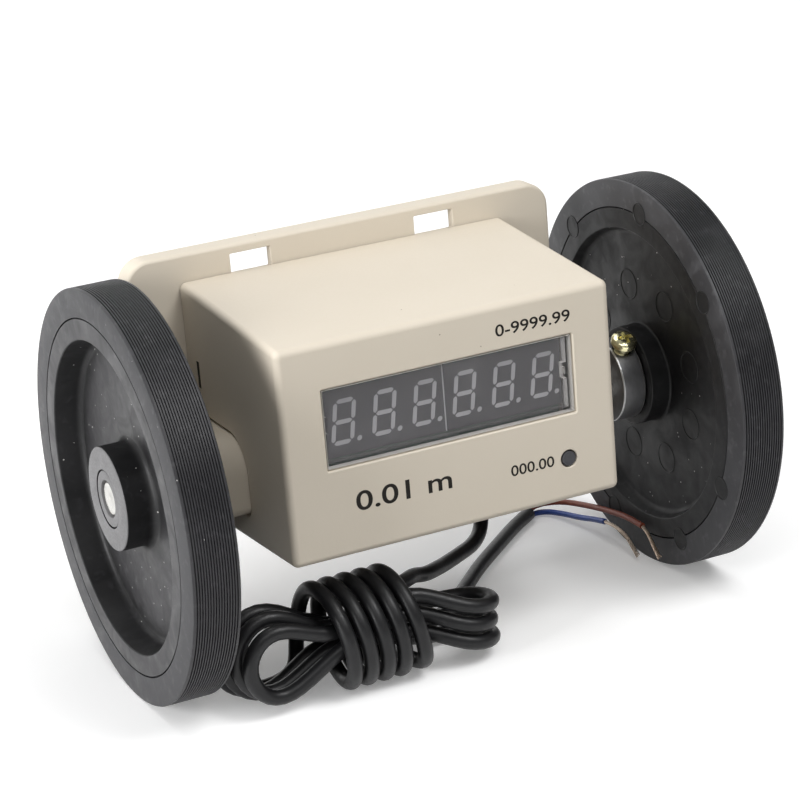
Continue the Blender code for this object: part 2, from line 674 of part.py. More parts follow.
def clamp_collar(finishes):
    profile = ring_profile(COLLAR_LOW_X, COLLAR_HIGH_X, SHAFT_BORE_RADIUS, COLLAR_RADIUS, COLLAR_CHAMFER)
    collar = turned("clamp_collar", profile, COLLAR_STEPS, (0, 0, AXLE_Z), (1, 0, 0), finishes["collar"])
    outward = Vector((0, -math.sin(COLLAR_SCREW_LEAN), math.cos(COLLAR_SCREW_LEAN)))
    centre = Vector(((COLLAR_LOW_X + COLLAR_HIGH_X) / 2, 0, AXLE_Z))
    hole = disc_profile(0, COLLAR_RADIUS + CUT_OVERRUN, COLLAR_SCREW_RADIUS + SEAT_GAP)
    cut(collar, turned("collar_screw_hole", hole, SCREW_SHANK_STEPS, centre, outward))
    head_base = COLLAR_RADIUS + COLLAR_SCREW_STANDOFF
    shank = head_base - SHAFT_BORE_RADIUS
    clamp = screw("collar_screw", centre + outward * head_base, outward, COLLAR_SCREW_HEAD_RADIUS,
                  COLLAR_SCREW_HEAD_HEIGHT, COLLAR_SCREW_RADIUS, shank, finishes["zinc"])
    return [collar, clamp]


def retaining_ring(name, low, finishes):
    profile = ring_profile(low, low + RING_THICKNESS, SHAFT_BORE_RADIUS, RING_RADIUS)
    ring = turned(name, profile, SLEEVE_STEPS, (0, 0, AXLE_Z), (1, 0, 0), finishes["steel"])
    reach = RING_RADIUS + CUT_OVERRUN
    half = RING_MOUTH / 2
    mouth = box(name + "_mouth", (low - CUT_OVERRUN, -half, AXLE_Z - reach),
                (low + RING_THICKNESS + CUT_OVERRUN, half, AXLE_Z))
    cut(ring, mouth)
    return [ring]


def encoder_outline():
    """The slotted disc's edge about its centre."""
    outline = []
    slot_angle = math.tau / ENCODER_SLOTS
    inner = ENCODER_RADIUS - ENCODER_SLOT_DEPTH
    for slot in range(ENCODER_SLOTS):
        start = slot * slot_angle
        edge = start + slot_angle * ENCODER_SLOT_SHARE
        end = start + slot_angle
        for radius, angle in ((ENCODER_RADIUS, start), (ENCODER_RADIUS, edge), (inner, edge), (inner, end)):
            outline.append((radius * math.cos(angle), radius * math.sin(angle)))
    return outline


def encoder(finishes):
    centre = (0, 0, AXLE_Z)
    low = ENCODER_X - ENCODER_THICKNESS / 2
    high = ENCODER_X + ENCODER_THICKNESS / 2
    disc = prism("encoder_disc", encoder_outline(), low, high, "X", finishes["disc"], centre)
    bore = disc_profile(low - CUT_OVERRUN, high + CUT_OVERRUN, ENCODER_SPIGOT_RADIUS + SEAT_GAP)
    cut(disc, turned("encoder_bore", bore, SLEEVE_STEPS, centre, (1, 0, 0)))
    profile = [
        (ENCODER_SHOULDER_X - ENCODER_HUB_LENGTH, SHAFT_BORE_RADIUS),
        (ENCODER_SHOULDER_X - ENCODER_HUB_LENGTH, ENCODER_HUB_RADIUS),
        (ENCODER_SHOULDER_X, ENCODER_HUB_RADIUS),
        (ENCODER_SHOULDER_X, ENCODER_SPIGOT_RADIUS),
        (ENCODER_SHOULDER_X + ENCODER_SPIGOT_LENGTH, ENCODER_SPIGOT_RADIUS),
        (ENCODER_SHOULDER_X + ENCODER_SPIGOT_LENGTH, SHAFT_BORE_RADIUS),
    ]
    hub = turned("encoder_hub", profile, SLEEVE_STEPS, centre, (1, 0, 0), finishes["chip"])
    return [disc, hub]


def pillar_outline(grow, back):
    """The bearing pillar seen along the axle: flat top, a wide front curve and a small lower one."""
    top = AXLE_Z + PILLAR_TOP_ABOVE_AXLE + grow
    bottom = AXLE_Z - PILLAR_BOTTOM_BELOW_AXLE - grow
    front = -PILLAR_FRONT_BEFORE_AXLE - grow
    upper = PILLAR_TOP_CURVE + grow
    lower = PILLAR_BOTTOM_CURVE + grow
    quarter = math.pi / 2
    points = [(back, bottom), (back, top)]
    points += arc((front + upper, top - upper), upper, quarter, 2 * quarter, PILLAR_CURVE_STEPS)
    points += arc((front + lower, bottom + lower), lower, 2 * quarter, 3 * quarter, PILLAR_CURVE_STEPS)
    return points


def case_side(side):
    return CASE_CENTRE_X + side * CASE_FRONT_WIDTH / 2


def pillar_span(side):
    outer = case_side(side) + side * PILLAR_PROUD
    inner = outer - side * PILLAR_LENGTH
    return inner, outer


def bearing_bush(name, side, finishes):
    inner, outer = pillar_span(side)
    start = abs(inner) + SEAT_GAP
    shoulder = abs(outer) + SEAT_GAP
    profile = [
        (start, BUSH_BORE_RADIUS),
        (start, BUSH_RADIUS),
        (shoulder, BUSH_RADIUS),
        (shoulder, BUSH_FLANGE_RADIUS),
        (shoulder + BUSH_FLANGE_THICKNESS, BUSH_FLANGE_RADIUS),
        (shoulder + BUSH_FLANGE_THICKNESS, BUSH_BORE_RADIUS),
    ]
    turned(name, profile, BUSH_STEPS, (0, 0, AXLE_Z), (side, 0, 0), finishes["bronze"])


def case_posts():
    low_z = CASE_FLOOR_Z + CASE_POST_BOTTOM_INSET
    high_z = CASE_TOP_Z - CASE_POST_TOP_INSET
    left_inner, _ = pillar_span(-1)
    right_inner, _ = pillar_span(1)
    return (
        ("upper_left", case_side(-1) + CASE_POST_SIDE_INSET, high_z),
        ("upper_right", case_side(1) - CASE_POST_SIDE_INSET, high_z),
        ("lower_left", left_inner + CASE_POST_FROM_PILLAR, low_z),
        ("lower_right", right_inner - CASE_POST_FROM_PILLAR, low_z),
    )


def main_board_limits():
    half = CASE_FRONT_WIDTH / 2 - MAIN_BOARD_SIDE_INSET
    return CASE_CENTRE_X - half, CASE_CENTRE_X + half


def main_posts():
    left, right = main_board_limits()
    low = MAIN_BOARD_BOTTOM + MAIN_POST_INSET
    high = MAIN_BOARD_TOP - MAIN_POST_INSET
    return (
        ("upper_left", left + MAIN_POST_INSET, high),
        ("upper_right", right - MAIN_POST_INSET, high),
        ("lower_left", left + MAIN_POST_INSET, low),
        ("lower_right", right - MAIN_POST_INSET, low),
    )


def base_plate(finishes):
    half = PLATE_WIDTH / 2
    low = (CASE_CENTRE_X - half, PLATE_BOTTOM_Z)
    high = (CASE_CENTRE_X + half, PLATE_TOP_Z)
    outline = rounded_outline(low, high, PLATE_CORNER, PLATE_CORNER_STEPS)
    plate = prism("base_plate", outline, PLATE_Y, PLATE_RIM_Y, "Y", finishes["ivory"])
    wall = PLATE_RIM_WALL
    inner_low = (low[0] + wall, low[1] + wall)
    inner_high = (high[0] - wall, high[1] - wall)
    pocket = rounded_outline(inner_low, inner_high, PLATE_CORNER - wall, PLATE_CORNER_STEPS)
    cut(plate, prism("plate_pocket", pocket, PLATE_BACK_Y, PLATE_RIM_Y + CUT_OVERRUN, "Y"))
    for side in (-1, 1):
        inner, outer = pillar_span(side)
        blank = prism("pillar_blank_%+d" % side, pillar_outline(0, PLATE_BACK_Y - PLATE_THICKNESS / 2),
                      min(inner, outer), max(inner, outer), "X")
        join(plate, blank)
        bore = disc_profile(abs(inner) - CUT_OVERRUN, abs(outer) + CUT_OVERRUN, BUSH_RADIUS + SEAT_GAP)
        cut(plate, turned("pillar_bore_%+d" % side, bore, BUSH_STEPS, (0, 0, AXLE_Z), (side, 0, 0)))
    for name, x, z in main_posts():
        post = disc_profile(-PLATE_THICKNESS / 2, MAIN_BOARD_STANDOFF, MAIN_POST_RADIUS)
        join(plate, turned("main_post_" + name, post, SCREW_SHANK_STEPS, (x, PLATE_Y, z), (0, -1, 0)))
        pilot = disc_profile(SEAT_GAP, MAIN_BOARD_STANDOFF + CUT_OVERRUN, BOARD_SCREW_RADIUS + PILOT_GAP)
        cut(plate, turned("main_pilot_" + name, pilot, SCREW_SHANK_STEPS, (x, PLATE_Y, z), (0, -1, 0)))
    for name, x, z in case_posts():
        hole = disc_profile(-CUT_OVERRUN, PLATE_THICKNESS + CUT_OVERRUN, CASE_SCREW_RADIUS + PILOT_GAP)
        cut(plate, turned("plate_hole_" + name, hole, SCREW_SHANK_STEPS, (x, PLATE_Y, z), (0, 1, 0)))
    for name, low_x, low_z in plate_windows():
        window_low = (low_x, PLATE_Y - CUT_OVERRUN, low_z)
        window_high = (low_x + PLATE_HOLE_WIDTH, PLATE_BACK_Y + CUT_OVERRUN, low_z + PLATE_HOLE_HEIGHT)
        cut(plate, box("plate_window_" + name, window_low, window_high))


def plate_windows():
    """The lower left corners of the plate's four holes."""
    upper = PLATE_TOP_Z - PLATE_HOLE_INSET - PLATE_HOLE_HEIGHT
    lower = PLATE_BOTTOM_Z + PLATE_HOLE_INSET
    left = CASE_CENTRE_X - PLATE_WIDTH / 2 + PLATE_HOLE_SIDE_INSET
    right = CASE_CENTRE_X + PLATE_WIDTH / 2 - PLATE_HOLE_SIDE_INSET - PLATE_HOLE_WIDTH
    return (("upper_left", left, upper), ("upper_right", right, upper),
            ("lower_left", left, lower), ("lower_right", right, lower))


def drafted_block(name, inset, back_y, finish=None):
    """The cover's outer form, or with an inset the hollow inside it, open at the back."""
    loops = []
    for y in (CASE_FRONT_Y + inset, back_y):
        share = (y - CASE_FRONT_Y) / CASE_DEPTH
        half = CASE_FRONT_WIDTH / 2 + CASE_SIDE_DRAFT * share - inset
        low = CASE_FLOOR_Z - CASE_BOTTOM_DRAFT * share + inset
        high = CASE_TOP_Z + CASE_TOP_DRAFT * share - inset
        corners = ((-half, low), (half, low), (half, high), (-half, high))
        loops.append([(CASE_CENTRE_X + x, y, z) for x, z in corners])
    bm = bmesh.new()
    span_loops(bm, *loops)
    return object_from(name, bm, finish)


def round_front_edges(cover):
    """Round every edge of the cover's blank but those of its back rim."""
    bm = bmesh.new()
    bm.from_mesh(cover.data)
    middle = CASE_FRONT_Y + CASE_DEPTH / 2
    chosen = [edge for edge in bm.edges if min(vert.co.y for vert in edge.verts) < middle]
    bmesh.ops.bevel(bm, geom=chosen, offset=CASE_EDGE, segments=3, profile=0.5, affect="EDGES")
    bm.to_mesh(cover.data)
    bm.free()
    smooth(cover.data)


def display_board_limits():
    half = CASE_FRONT_WIDTH / 2 - DISPLAY_BOARD_SIDE_INSET
    low = (CASE_CENTRE_X - half, CASE_FLOOR_Z + DISPLAY_BOARD_BOTTOM_INSET)
    high = (CASE_CENTRE_X + half, CASE_TOP_Z - DISPLAY_BOARD_TOP_INSET)
    return low, high


def display_posts():
    low, high = display_board_limits()
    inset = DISPLAY_POST_INSET
    right = RESET_X - SWITCH_SIZE - DISPLAY_POST_RADIUS
    return (
        ("upper_left", low[0] + inset, high[1] - DISPLAY_POST_RADIUS),
        ("upper_right", high[0] - inset, high[1] - DISPLAY_POST_RADIUS),
        ("lower_left", low[0] + inset, low[1] + inset),
        ("lower_right", right, low[1] + inset),
    )


def front_cover(finishes):
    cover = drafted_block("front_cover", 0, CASE_BACK_Y, finishes["ivory"])
    round_front_edges(cover)
    cut(cover, drafted_block("cover_hollow", CASE_WALL, CASE_BACK_Y + CUT_OVERRUN))
    post_start = CASE_WALL / 2
    for name, x, z in case_posts():
        post = disc_profile(post_start, CASE_DEPTH, CASE_POST_RADIUS)
        join(cover, turned("case_post_" + name, post, SCREW_SHANK_STEPS, (x, CASE_FRONT_Y, z), (0, 1, 0)))
        pilot = disc_profile(CASE_DEPTH - CASE_SCREW_BITE - CUT_OVERRUN, CASE_DEPTH + CUT_OVERRUN,
                             CASE_SCREW_RADIUS + PILOT_GAP)
        cut(cover, turned("case_pilot_" + name, pilot, SCREW_SHANK_STEPS, (x, CASE_FRONT_Y, z), (0, 1, 0)))
    board_depth = DISPLAY_BOARD_Y - SEAT_GAP - CASE_FRONT_Y
    for name, x, z in display_posts():
        post = disc_profile(post_start, board_depth, DISPLAY_POST_RADIUS)
        join(cover, turned("display_post_" + name, post, SCREW_SHANK_STEPS, (x, CASE_FRONT_Y, z), (0, 1, 0)))
        pilot = disc_profile(board_depth - BOARD_SCREW_BITE - PILOT_GAP, board_depth + CUT_OVERRUN,
                             BOARD_SCREW_RADIUS + PILOT_GAP)
        cut(cover, turned("display_pilot_" + name, pilot, SCREW_SHANK_STEPS, (x, CASE_FRONT_Y, z), (0, 1, 0)))
    half = WINDOW_WIDTH / 2
    window_low = (CASE_CENTRE_X - half, CASE_FRONT_Y - CUT_OVERRUN, WINDOW_Z)
    window_high = (CASE_CENTRE_X + half, COVER_INSIDE_Y + CUT_OVERRUN, WINDOW_Z + WINDOW_HEIGHT)
    cut(cover, box("window_opening", window_low, window_high))
    hole = disc_profile(-CUT_OVERRUN, CASE_WALL + CUT_OVERRUN, RESET_RADIUS + SEAT_GAP)
    cut(cover, turned("reset_hole", hole, RESET_STEPS, (RESET_X, CASE_FRONT_Y, RESET_Z), (0, 1, 0)))
    for side in (-1, 1):
        wall = case_side(side)
        reach = CASE_WALL + CASE_SIDE_DRAFT + CUT_OVERRUN
        slot = prism("side_slot_%+d" % side, pillar_outline(SLOT_GAP, CASE_BACK_Y + CUT_OVERRUN),
                     wall - reach, wall + reach, "X")
        cut(cover, slot)
        latch_y = CASE_BACK_Y - LATCH_BEFORE_BACK
        latch_z = CASE_BACK_TOP_Z - LATCH_BELOW_TOP
        latch_low = (wall - reach, latch_y - LATCH_WIDTH, latch_z - LATCH_HEIGHT)
        cut(cover, box("latch_slit_%+d" % side, latch_low, (wall + reach, latch_y, latch_z)))
    outlet = disc_profile(-CASE_WALL - CUT_OVERRUN, CASE_WALL + CUT_OVERRUN, GLAND_NECK_RADIUS + SEAT_GAP)
    cut(cover, turned("cord_outlet", outlet, GLAND_STEPS, (GLAND_X, GLAND_Y, gland_floor()), (0, 0, 1)))


def display_lens(finishes):
    half = WINDOW_WIDTH / 2 - LENS_PLAY
    low_z = WINDOW_Z + LENS_PLAY
    high_z = WINDOW_Z + WINDOW_HEIGHT - LENS_PLAY
    lens = box("display_lens", (CASE_CENTRE_X - half, LENS_FRONT_Y, low_z),
               (CASE_CENTRE_X + half, LENS_BACK_Y, high_z), finishes["clear"])
    wide = half + LENS_FLANGE_WIDTH
    flange_low = (CASE_CENTRE_X - wide, LENS_BACK_Y - LENS_FLANGE_THICKNESS, low_z - LENS_FLANGE_WIDTH)
    flange_high = (CASE_CENTRE_X + wide, LENS_BACK_Y, high_z + LENS_FLANGE_WIDTH)
    join(lens, box("lens_flange", flange_low, flange_high))
    inside = half - LENS_WALL
    hollow = box("lens_hollow", (CASE_CENTRE_X - inside, LENS_FRONT_Y + LENS_PLATE, low_z + LENS_WALL),
                 (CASE_CENTRE_X + inside, LENS_BACK_Y + CUT_OVERRUN, high_z - LENS_WALL))
    cut(lens, hollow)


def segment_outlines():
    """The seven bars of a digit as outlines, about the digit's centre and before its slant."""
    half_width = DIGIT_WIDTH / 2 - SEGMENT_WIDTH / 2
    half_height = DIGIT_HEIGHT / 2 - SEGMENT_WIDTH / 2
    tip = SEGMENT_WIDTH / 2
    flat_end = half_width - SEGMENT_JOINT
    tall_end = half_height - SEGMENT_JOINT
    bars = []
    for z in (-half_height, 0, half_height):
        bars.append([(-flat_end, z), (tip - flat_end, z - tip), (flat_end - tip, z - tip),
                     (flat_end, z), (flat_end - tip, z + tip), (tip - flat_end, z + tip)])
    for x in (-half_width, half_width):
        for low, high in ((-tall_end, -SEGMENT_JOINT), (SEGMENT_JOINT, tall_end)):
            bars.append([(x, low), (x + tip, low + tip), (x + tip, high - tip),
                         (x, high), (x - tip, high - tip), (x - tip, low + tip)])
    return bars


def digit_outlines():
    """A digit's seven bars and its decimal point."""
    centre = (DIGIT_WIDTH / 2 + POINT_OFFSET, POINT_RADIUS - DIGIT_HEIGHT / 2)
    last = math.tau * (POINT_STEPS - 1) / POINT_STEPS
    return segment_outlines() + [arc(centre, POINT_RADIUS, 0, last, POINT_STEPS - 1)]


def led_module(name, side, finishes):
    low_z = WINDOW_Z + MODULE_INSET
    high_z = low_z + MODULE_HEIGHT
    near = CASE_CENTRE_X + side * MODULE_SEAM / 2
    far = CASE_CENTRE_X + side * (WINDOW_WIDTH / 2 - MODULE_INSET)
    low = (min(near, far), MODULE_FRONT_Y, low_z)
    high = (max(near, far), MODULE_BACK_Y, high_z)
    module = box(name, low, high, finishes["display"])
    spare = high[0] - low[0] - DIGIT_WIDTH - POINT_OFFSET - POINT_RADIUS
    digits = 1 + int(spare / DIGIT_PITCH)
    centre_z = (low_z + high_z) / 2
    bm = bmesh.new()
    for digit in range(digits):
        centre_x = (near + far) / 2 + (digit - (digits - 1) / 2) * DIGIT_PITCH
        for outline in digit_outlines():
            places = [(centre_x + x + z * DIGIT_SLANT, centre_z + z) for x, z in outline]
            front = [(x, MODULE_FRONT_Y - SEGMENT_DEPTH, z) for x, z in places]
            back = [(x, MODULE_FRONT_Y + SEGMENT_DEPTH, z) for x, z in places]
            span_loops(bm, front, back)
    cut(module, object_from(name + "_segments", bm))


def reset_button(finishes):
    front = CASE_FRONT_Y - RESET_PROUD
    flange_front = COVER_INSIDE_Y + SEAT_GAP - front
    flange_back = flange_front + RESET_FLANGE_THICKNESS
    stem_end = DISPLAY_BOARD_Y - SWITCH_DEPTH - SEAT_GAP - RESET_TRAVEL - SEAT_GAP - front
    profile = [
        (0, 0),
        (0, RESET_RADIUS - RESET_PROUD),
        (RESET_PROUD, RESET_RADIUS),
        (flange_front, RESET_RADIUS),
        (flange_front, RESET_FLANGE_RADIUS),
        (flange_back, RESET_FLANGE_RADIUS),
        (flange_back, RESET_STEM_RADIUS),
        (stem_end, RESET_STEM_RADIUS),
        (stem_end, 0),
    ]
    place = (RESET_X, front, RESET_Z)
    return [turned("reset_button", profile, RESET_STEPS, place, (0, 1, 0), finishes["button"])]


def reset_switch(finishes):
    half = SWITCH_SIZE / 2
    back = DISPLAY_BOARD_Y - SEAT_GAP
    low = (RESET_X - half, back - SWITCH_DEPTH, RESET_Z - half)
    box("reset_switch", low, (RESET_X + half, back, RESET_Z + half), finishes["chip"])


def display_board(finishes):
    low, high = display_board_limits()
    front = DISPLAY_BOARD_Y
    back = front + BOARD_THICKNESS
    board = box("display_board", (low[0], front, low[1]), (high[0], back, high[1]), finishes["board"])
    for name, x, z in display_posts():
        hole = disc_profile(-CUT_OVERRUN, BOARD_THICKNESS + CUT_OVERRUN, BOARD_SCREW_RADIUS + PILOT_GAP)
        cut(board, turned("display_hole_" + name, hole, SCREW_SHANK_STEPS, (x, front, z), (0, 1, 0)))
        board_screw("display_screw_" + name, (x, back + SEAT_GAP, z), (0, 1, 0), finishes)


def board_screw(name, origin, direction, finishes):
    length = BOARD_SCREW_BITE + BOARD_THICKNESS
    profile = [
        (-length, 0),
        (-length, BOARD_SCREW_RADIUS),
        (0, BOARD_SCREW_RADIUS),
        (0, BOARD_SCREW_HEAD_RADIUS),
        (BOARD_SCREW_HEAD_HEIGHT, BOARD_SCREW_HEAD_RADIUS),
        (BOARD_SCREW_HEAD_HEIGHT, 0),
    ]
    turned(name, profile, SCREW_SHANK_STEPS, origin, direction, finishes["zinc"])


def main_board(finishes):
    left, right = main_board_limits()
    board = box("main_board", (left, MAIN_BOARD_Y, MAIN_BOARD_BOTTOM),
                (right, MAIN_BOARD_Y + BOARD_THICKNESS, MAIN_BOARD_TOP), finishes["board"])
    for name, x, z in main_posts():
        hole = disc_profile(-CUT_OVERRUN, BOARD_THICKNESS + CUT_OVERRUN, BOARD_SCREW_RADIUS + PILOT_GAP)
        cut(board, turned("main_hole_" + name, hole, SCREW_SHANK_STEPS, (x, MAIN_BOARD_Y, z), (0, 1, 0)))
    for name, x, z in main_posts():
        board_screw("main_screw_" + name, (x, MAIN_BOARD_Y - SEAT_GAP, z), (0, -1, 0), finishes)


def transformer(finishes):
    back = MAIN_BOARD_Y - SEAT_GAP
    front = back - CORE_DEPTH
    half = CORE_WIDTH / 2
    centre_x = ENCODER_SHOULDER_X - ENCODER_HUB_LENGTH - CORE_FROM_ENCODER - half
    top = MAIN_BOARD_TOP - CORE_BELOW_TOP
    bottom = top - CORE_HEIGHT
    low = (centre_x - half, front, bottom)
    core = box("transformer_core", low, (centre_x + half, back, top), finishes["iron"])
    window_inner = CORE_CENTRE_LIMB / 2
    window_outer = half - CORE_LIMB
    for side in (-1, 1):
        near = centre_x + side * window_inner
        far = centre_x + side * window_outer
        window_low = (min(near, far), front - CUT_OVERRUN, bottom + CORE_LIMB)
        window_high = (max(near, far), back + CUT_OVERRUN, top - CORE_LIMB)
        cut(core, box("core_window_%+d" % side, window_low, window_high))
    low_z = bottom + CORE_LIMB + SEAT_GAP
    high_z = top - CORE_LIMB - SEAT_GAP
    wide = window_outer - SEAT_GAP
    winding = box("transformer_winding", (centre_x - wide, front - WINDING_BULGE, low_z),
                  (centre_x + wide, back - SEAT_GAP, high_z), finishes["winding"])
    narrow = window_inner + SEAT_GAP
    cut(winding, box("winding_bore", (centre_x - narrow, front - SEAT_GAP, low_z - CUT_OVERRUN),
                     (centre_x + narrow, back + SEAT_GAP, high_z + CUT_OVERRUN)))


def main_board_parts(finishes):
    _, right = main_board_limits()
    back = MAIN_BOARD_Y - SEAT_GAP
    profile = disc_profile(0, CAPACITOR_LENGTH, CAPACITOR_RADIUS, CAPACITOR_CRIMP)
    place = (right - CAPACITOR_FROM_RIGHT, back, MAIN_BOARD_TOP - CAPACITOR_BELOW_TOP)
    turned("smoothing_capacitor", profile, SCREW_HEAD_STEPS, place, (0, -1, 0), finishes["can"])
    chip_x = right - CHIP_FROM_RIGHT
    chip_z = MAIN_BOARD_TOP - CHIP_BELOW_TOP
    box("counter_chip", (chip_x - CHIP_LENGTH / 2, back - CHIP_THICKNESS, chip_z - CHIP_WIDTH / 2),
        (chip_x + CHIP_LENGTH / 2, back, chip_z + CHIP_WIDTH / 2), finishes["chip"])


def photo_interrupter(finishes):
    """A fork round the encoder's rim, held on the main board."""
    half = SENSOR_WIDTH / 2
    mouth = SENSOR_MOUTH / 2
    back = MAIN_BOARD_Y - SEAT_GAP
    tip = ENCODER_RADIUS - SENSOR_REACH
    root = ENCODER_RADIUS + SEAT_GAP
    outline = [(-half, back), (-half, tip), (-mouth, tip), (-mouth, root),
               (mouth, root), (mouth, tip), (half, tip), (half, back)]
    prism("photo_interrupter", outline, -SENSOR_HEIGHT / 2, SENSOR_HEIGHT / 2, "Z", finishes["chip"],
          (ENCODER_X, 0, AXLE_Z))


def case_screws(finishes):
    for name, x, z in case_posts():
        screw("case_screw_" + name, (x, PLATE_BACK_Y + SEAT_GAP, z), (0, 1, 0), CASE_SCREW_HEAD_RADIUS,
              CASE_SCREW_HEAD_HEIGHT, CASE_SCREW_RADIUS, PLATE_THICKNESS + CASE_SCREW_BITE, finishes["zinc"])


def gland_floor():
    """Height of the cover's underside where the cord leaves it."""
    share = (GLAND_Y - CASE_FRONT_Y) / CASE_DEPTH
    return CASE_FLOOR_Z - CASE_BOTTOM_DRAFT * share


def cord_gland(finishes):
    floor = gland_floor()
    slope = CASE_BOTTOM_DRAFT / CASE_DEPTH * GLAND_FLANGE_RADIUS
    under = SEAT_GAP + slope
    inside = CASE_WALL + SEAT_GAP + slope
    profile = [
        (-GLAND_INSIDE - CASE_WALL, 0),
        (-GLAND_INSIDE - CASE_WALL, GLAND_NECK_RADIUS),
        (-inside - GLAND_FLANGE_THICKNESS, GLAND_NECK_RADIUS),
        (-inside - GLAND_FLANGE_THICKNESS, GLAND_FLANGE_RADIUS),
        (-inside, GLAND_FLANGE_RADIUS),
        (-inside, GLAND_NECK_RADIUS),
        (under, GLAND_NECK_RADIUS),
        (under, GLAND_FLANGE_RADIUS),
        (under + GLAND_FLANGE_THICKNESS, GLAND_FLANGE_RADIUS),
        (GLAND_OUTSIDE, GLAND_TIP_RADIUS),
        (GLAND_OUTSIDE, 0),
    ]
    turned("cord_gland", profile, GLAND_STEPS, (GLAND_X, GLAND_Y, floor), (0, 0, -1), finishes["cord"])


def spline_point(a, b, c, d, t):
    """A point of the uniform cubic B-spline span between b and c."""
    first = (1 - t) ** 3
    second = 3 * t ** 3 - 6 * t ** 2 + 4
    third = -3 * t ** 3 + 3 * t ** 2 + 3 * t + 1
    return (a * first + b * second + c * third + d * t ** 3) / 6


def smooth_curve(controls, samples):
    """Points of a B-spline that starts and ends at its first and last control points."""
    points = [Vector(control) for control in controls]
    start = points[0] * 2 - points[1]
    end = points[-1] * 2 - points[-2]
    points = [start] + points + [end]
    spans = len(points) - 3
    count = math.ceil(spans * samples)
    result = []
    for index in range(count + 1):
        place = index * spans / count
        span = min(int(place), spans - 1)
        result.append(spline_point(*points[span:span + 4], place - span))
    return result


def through_points(route, samples):
    """Points of a smooth curve that passes through every point of a route."""
    points = [Vector(place) for place in route]
    points = [points[0] * 2 - points[1]] + points + [points[-1] * 2 - points[-2]]
    result = []
    for span in range(len(points) - 3):
        a, b, c, d = points[span:span + 4]
        for step in range(samples):
            t = step / samples
            result.append((b * 2 + (c - a) * t + (a * 2 - b * 5 + c * 4 - d) * t ** 2
                           + (b * 3 - a - c * 3 + d) * t ** 3) / 2)
    result.append(points[-2])
    return result


def tube(name, points, diameter, resolution, finish):
    curve = bpy.data.curves.new(name, "CURVE")
    curve.dimensions = "3D"
    curve.bevel_depth = diameter / 2
    curve.bevel_resolution = resolution
    curve.use_fill_caps = True
    spline = curve.splines.new("POLY")
    spline.points.add(len(points) - 1)
    for point, place in zip(spline.points, points):
        point.co = (*place, 1.0)
    spline.use_smooth = True
    curve.materials.append(finish)
    return link(name, curve)


def bundle_place(row, layer, turn):
    """Where a run crosses the waist: row is +1 or -1, and the pattern turns about the hank's axis."""
    across = row * LAYER_STEP / 2
    along = (layer - (LOOPS - 1) / 2) * LAYER_STEP
    y = HANK_AXIS_Y + along * math.cos(turn) + across * math.sin(turn)
    z = HANK_AXIS_Z + across * math.cos(turn) - along * math.sin(turn)
    return y, z


def arc_spread(degrees):
    """How far out control points this many degrees apart must lie for the curve to reach its radius."""
    return 3 / (2 + math.cos(math.radians(degrees)))


def left_arc(layer):
    """Control points of a standing loop at the left end, from its top to its bottom."""
    radius = LEFT_RADII[layer] * arc_spread(LEFT_ARC_STEP)
    centre_x = LEFT_REACH[layer] + LEFT_RADII[layer]
    y = HANK_AXIS_Y + (layer - (LOOPS - 1) / 2) * LOOP_LAYER
    centre_z = max(LEFT_CENTRE_Z[layer], LEFT_RADII[layer] + CORD_DIAMETER / 2)
    points = []
    for step in range(-2, 3):
        angle = math.radians(180 + step * LEFT_ARC_STEP)
        points.append((centre_x + radius * math.cos(angle), y, centre_z + radius * math.sin(angle)))
    return points


def right_layer_z(layer):
    return CORD_DIAMETER / 2 + (LOOPS - 1 - layer) * LOOP_LAYER


def right_arc(layer):
    """Control points of a flat loop at the right end, from the front run to the back run a layer lower."""
    radius = RIGHT_RADIUS * arc_spread(RIGHT_ARC_STEP)
    centre_x = RIGHT_REACH[layer] - RIGHT_RADIUS
    points = []
    for step in range(-2, 3):
        angle = math.radians(step * RIGHT_ARC_STEP)
        share = (step + 2) / 4
        z = right_layer_z(layer) * (1 - share) + right_layer_z(layer + 1) * share
        points.append((centre_x + radius * math.cos(angle), RIGHT_CENTRE_Y + radius * math.sin(angle), z))
    return points


def waist_run(row, layer):
    """Control points of one run through the waist, from its left end to its right end."""
    points = []
    for step in range(WAIST_STEPS + 1):
        share = step / WAIST_STEPS
        x = WAIST_LEFT_X * (1 - share) + WAIST_RIGHT_X * share
        points.append((x, *bundle_place(row, layer, WAIST_TURN * share)))
    return points


def hank_loops():
    """Control points of the loops: in at the right, out to each left arc and back."""
    points = []
    for layer in range(LOOPS):
        points += reversed(waist_run(1, layer))
        points += left_arc(layer)
        if layer < LOOPS - 1:
            points += waist_run(-1, layer)
            points += right_arc(layer)
    return points


def wrap_points():
    """Control points of the wraps, from under the bundle's back up and over its front, moving right.

    The first and the last wrap lean out along the bundle, so that the cord comes and goes in an easy bend.
    """
    radius = WRAP_RADIUS * arc_spread(360 / WRAP_POINTS)
    points = []
    for index in range(1, WRAP_TURNS * WRAP_POINTS):
        share = index / WRAP_POINTS
        angle = -math.pi / 2 + math.tau * share
        early = max(0.0, 1 - share / WRAP_EASE_SHARE)
        late = max(0.0, 1 - (WRAP_TURNS - share) / WRAP_EASE_SHARE)
        x = WRAP_LEFT_X + WRAP_PITCH * share - WRAP_LEAN * math.sin(angle)
        x += WRAP_EASE_OUT * late ** 2 - WRAP_EASE_IN * early ** 2
        y = HANK_AXIS_Y + radius * math.cos(angle)
        z = HANK_AXIS_Z + radius * math.sin(angle)
        points.append((x, y, z))
    return points


def end_on(route):
    """Two control points that carry on straight from the end of a route, after a gap."""
    last = Vector(route[-1])
    ahead = (last - Vector(route[-2])).normalized()
    start = last + ahead * CORD_END_GAP
    return start, start + ahead * CORD_DIAMETER


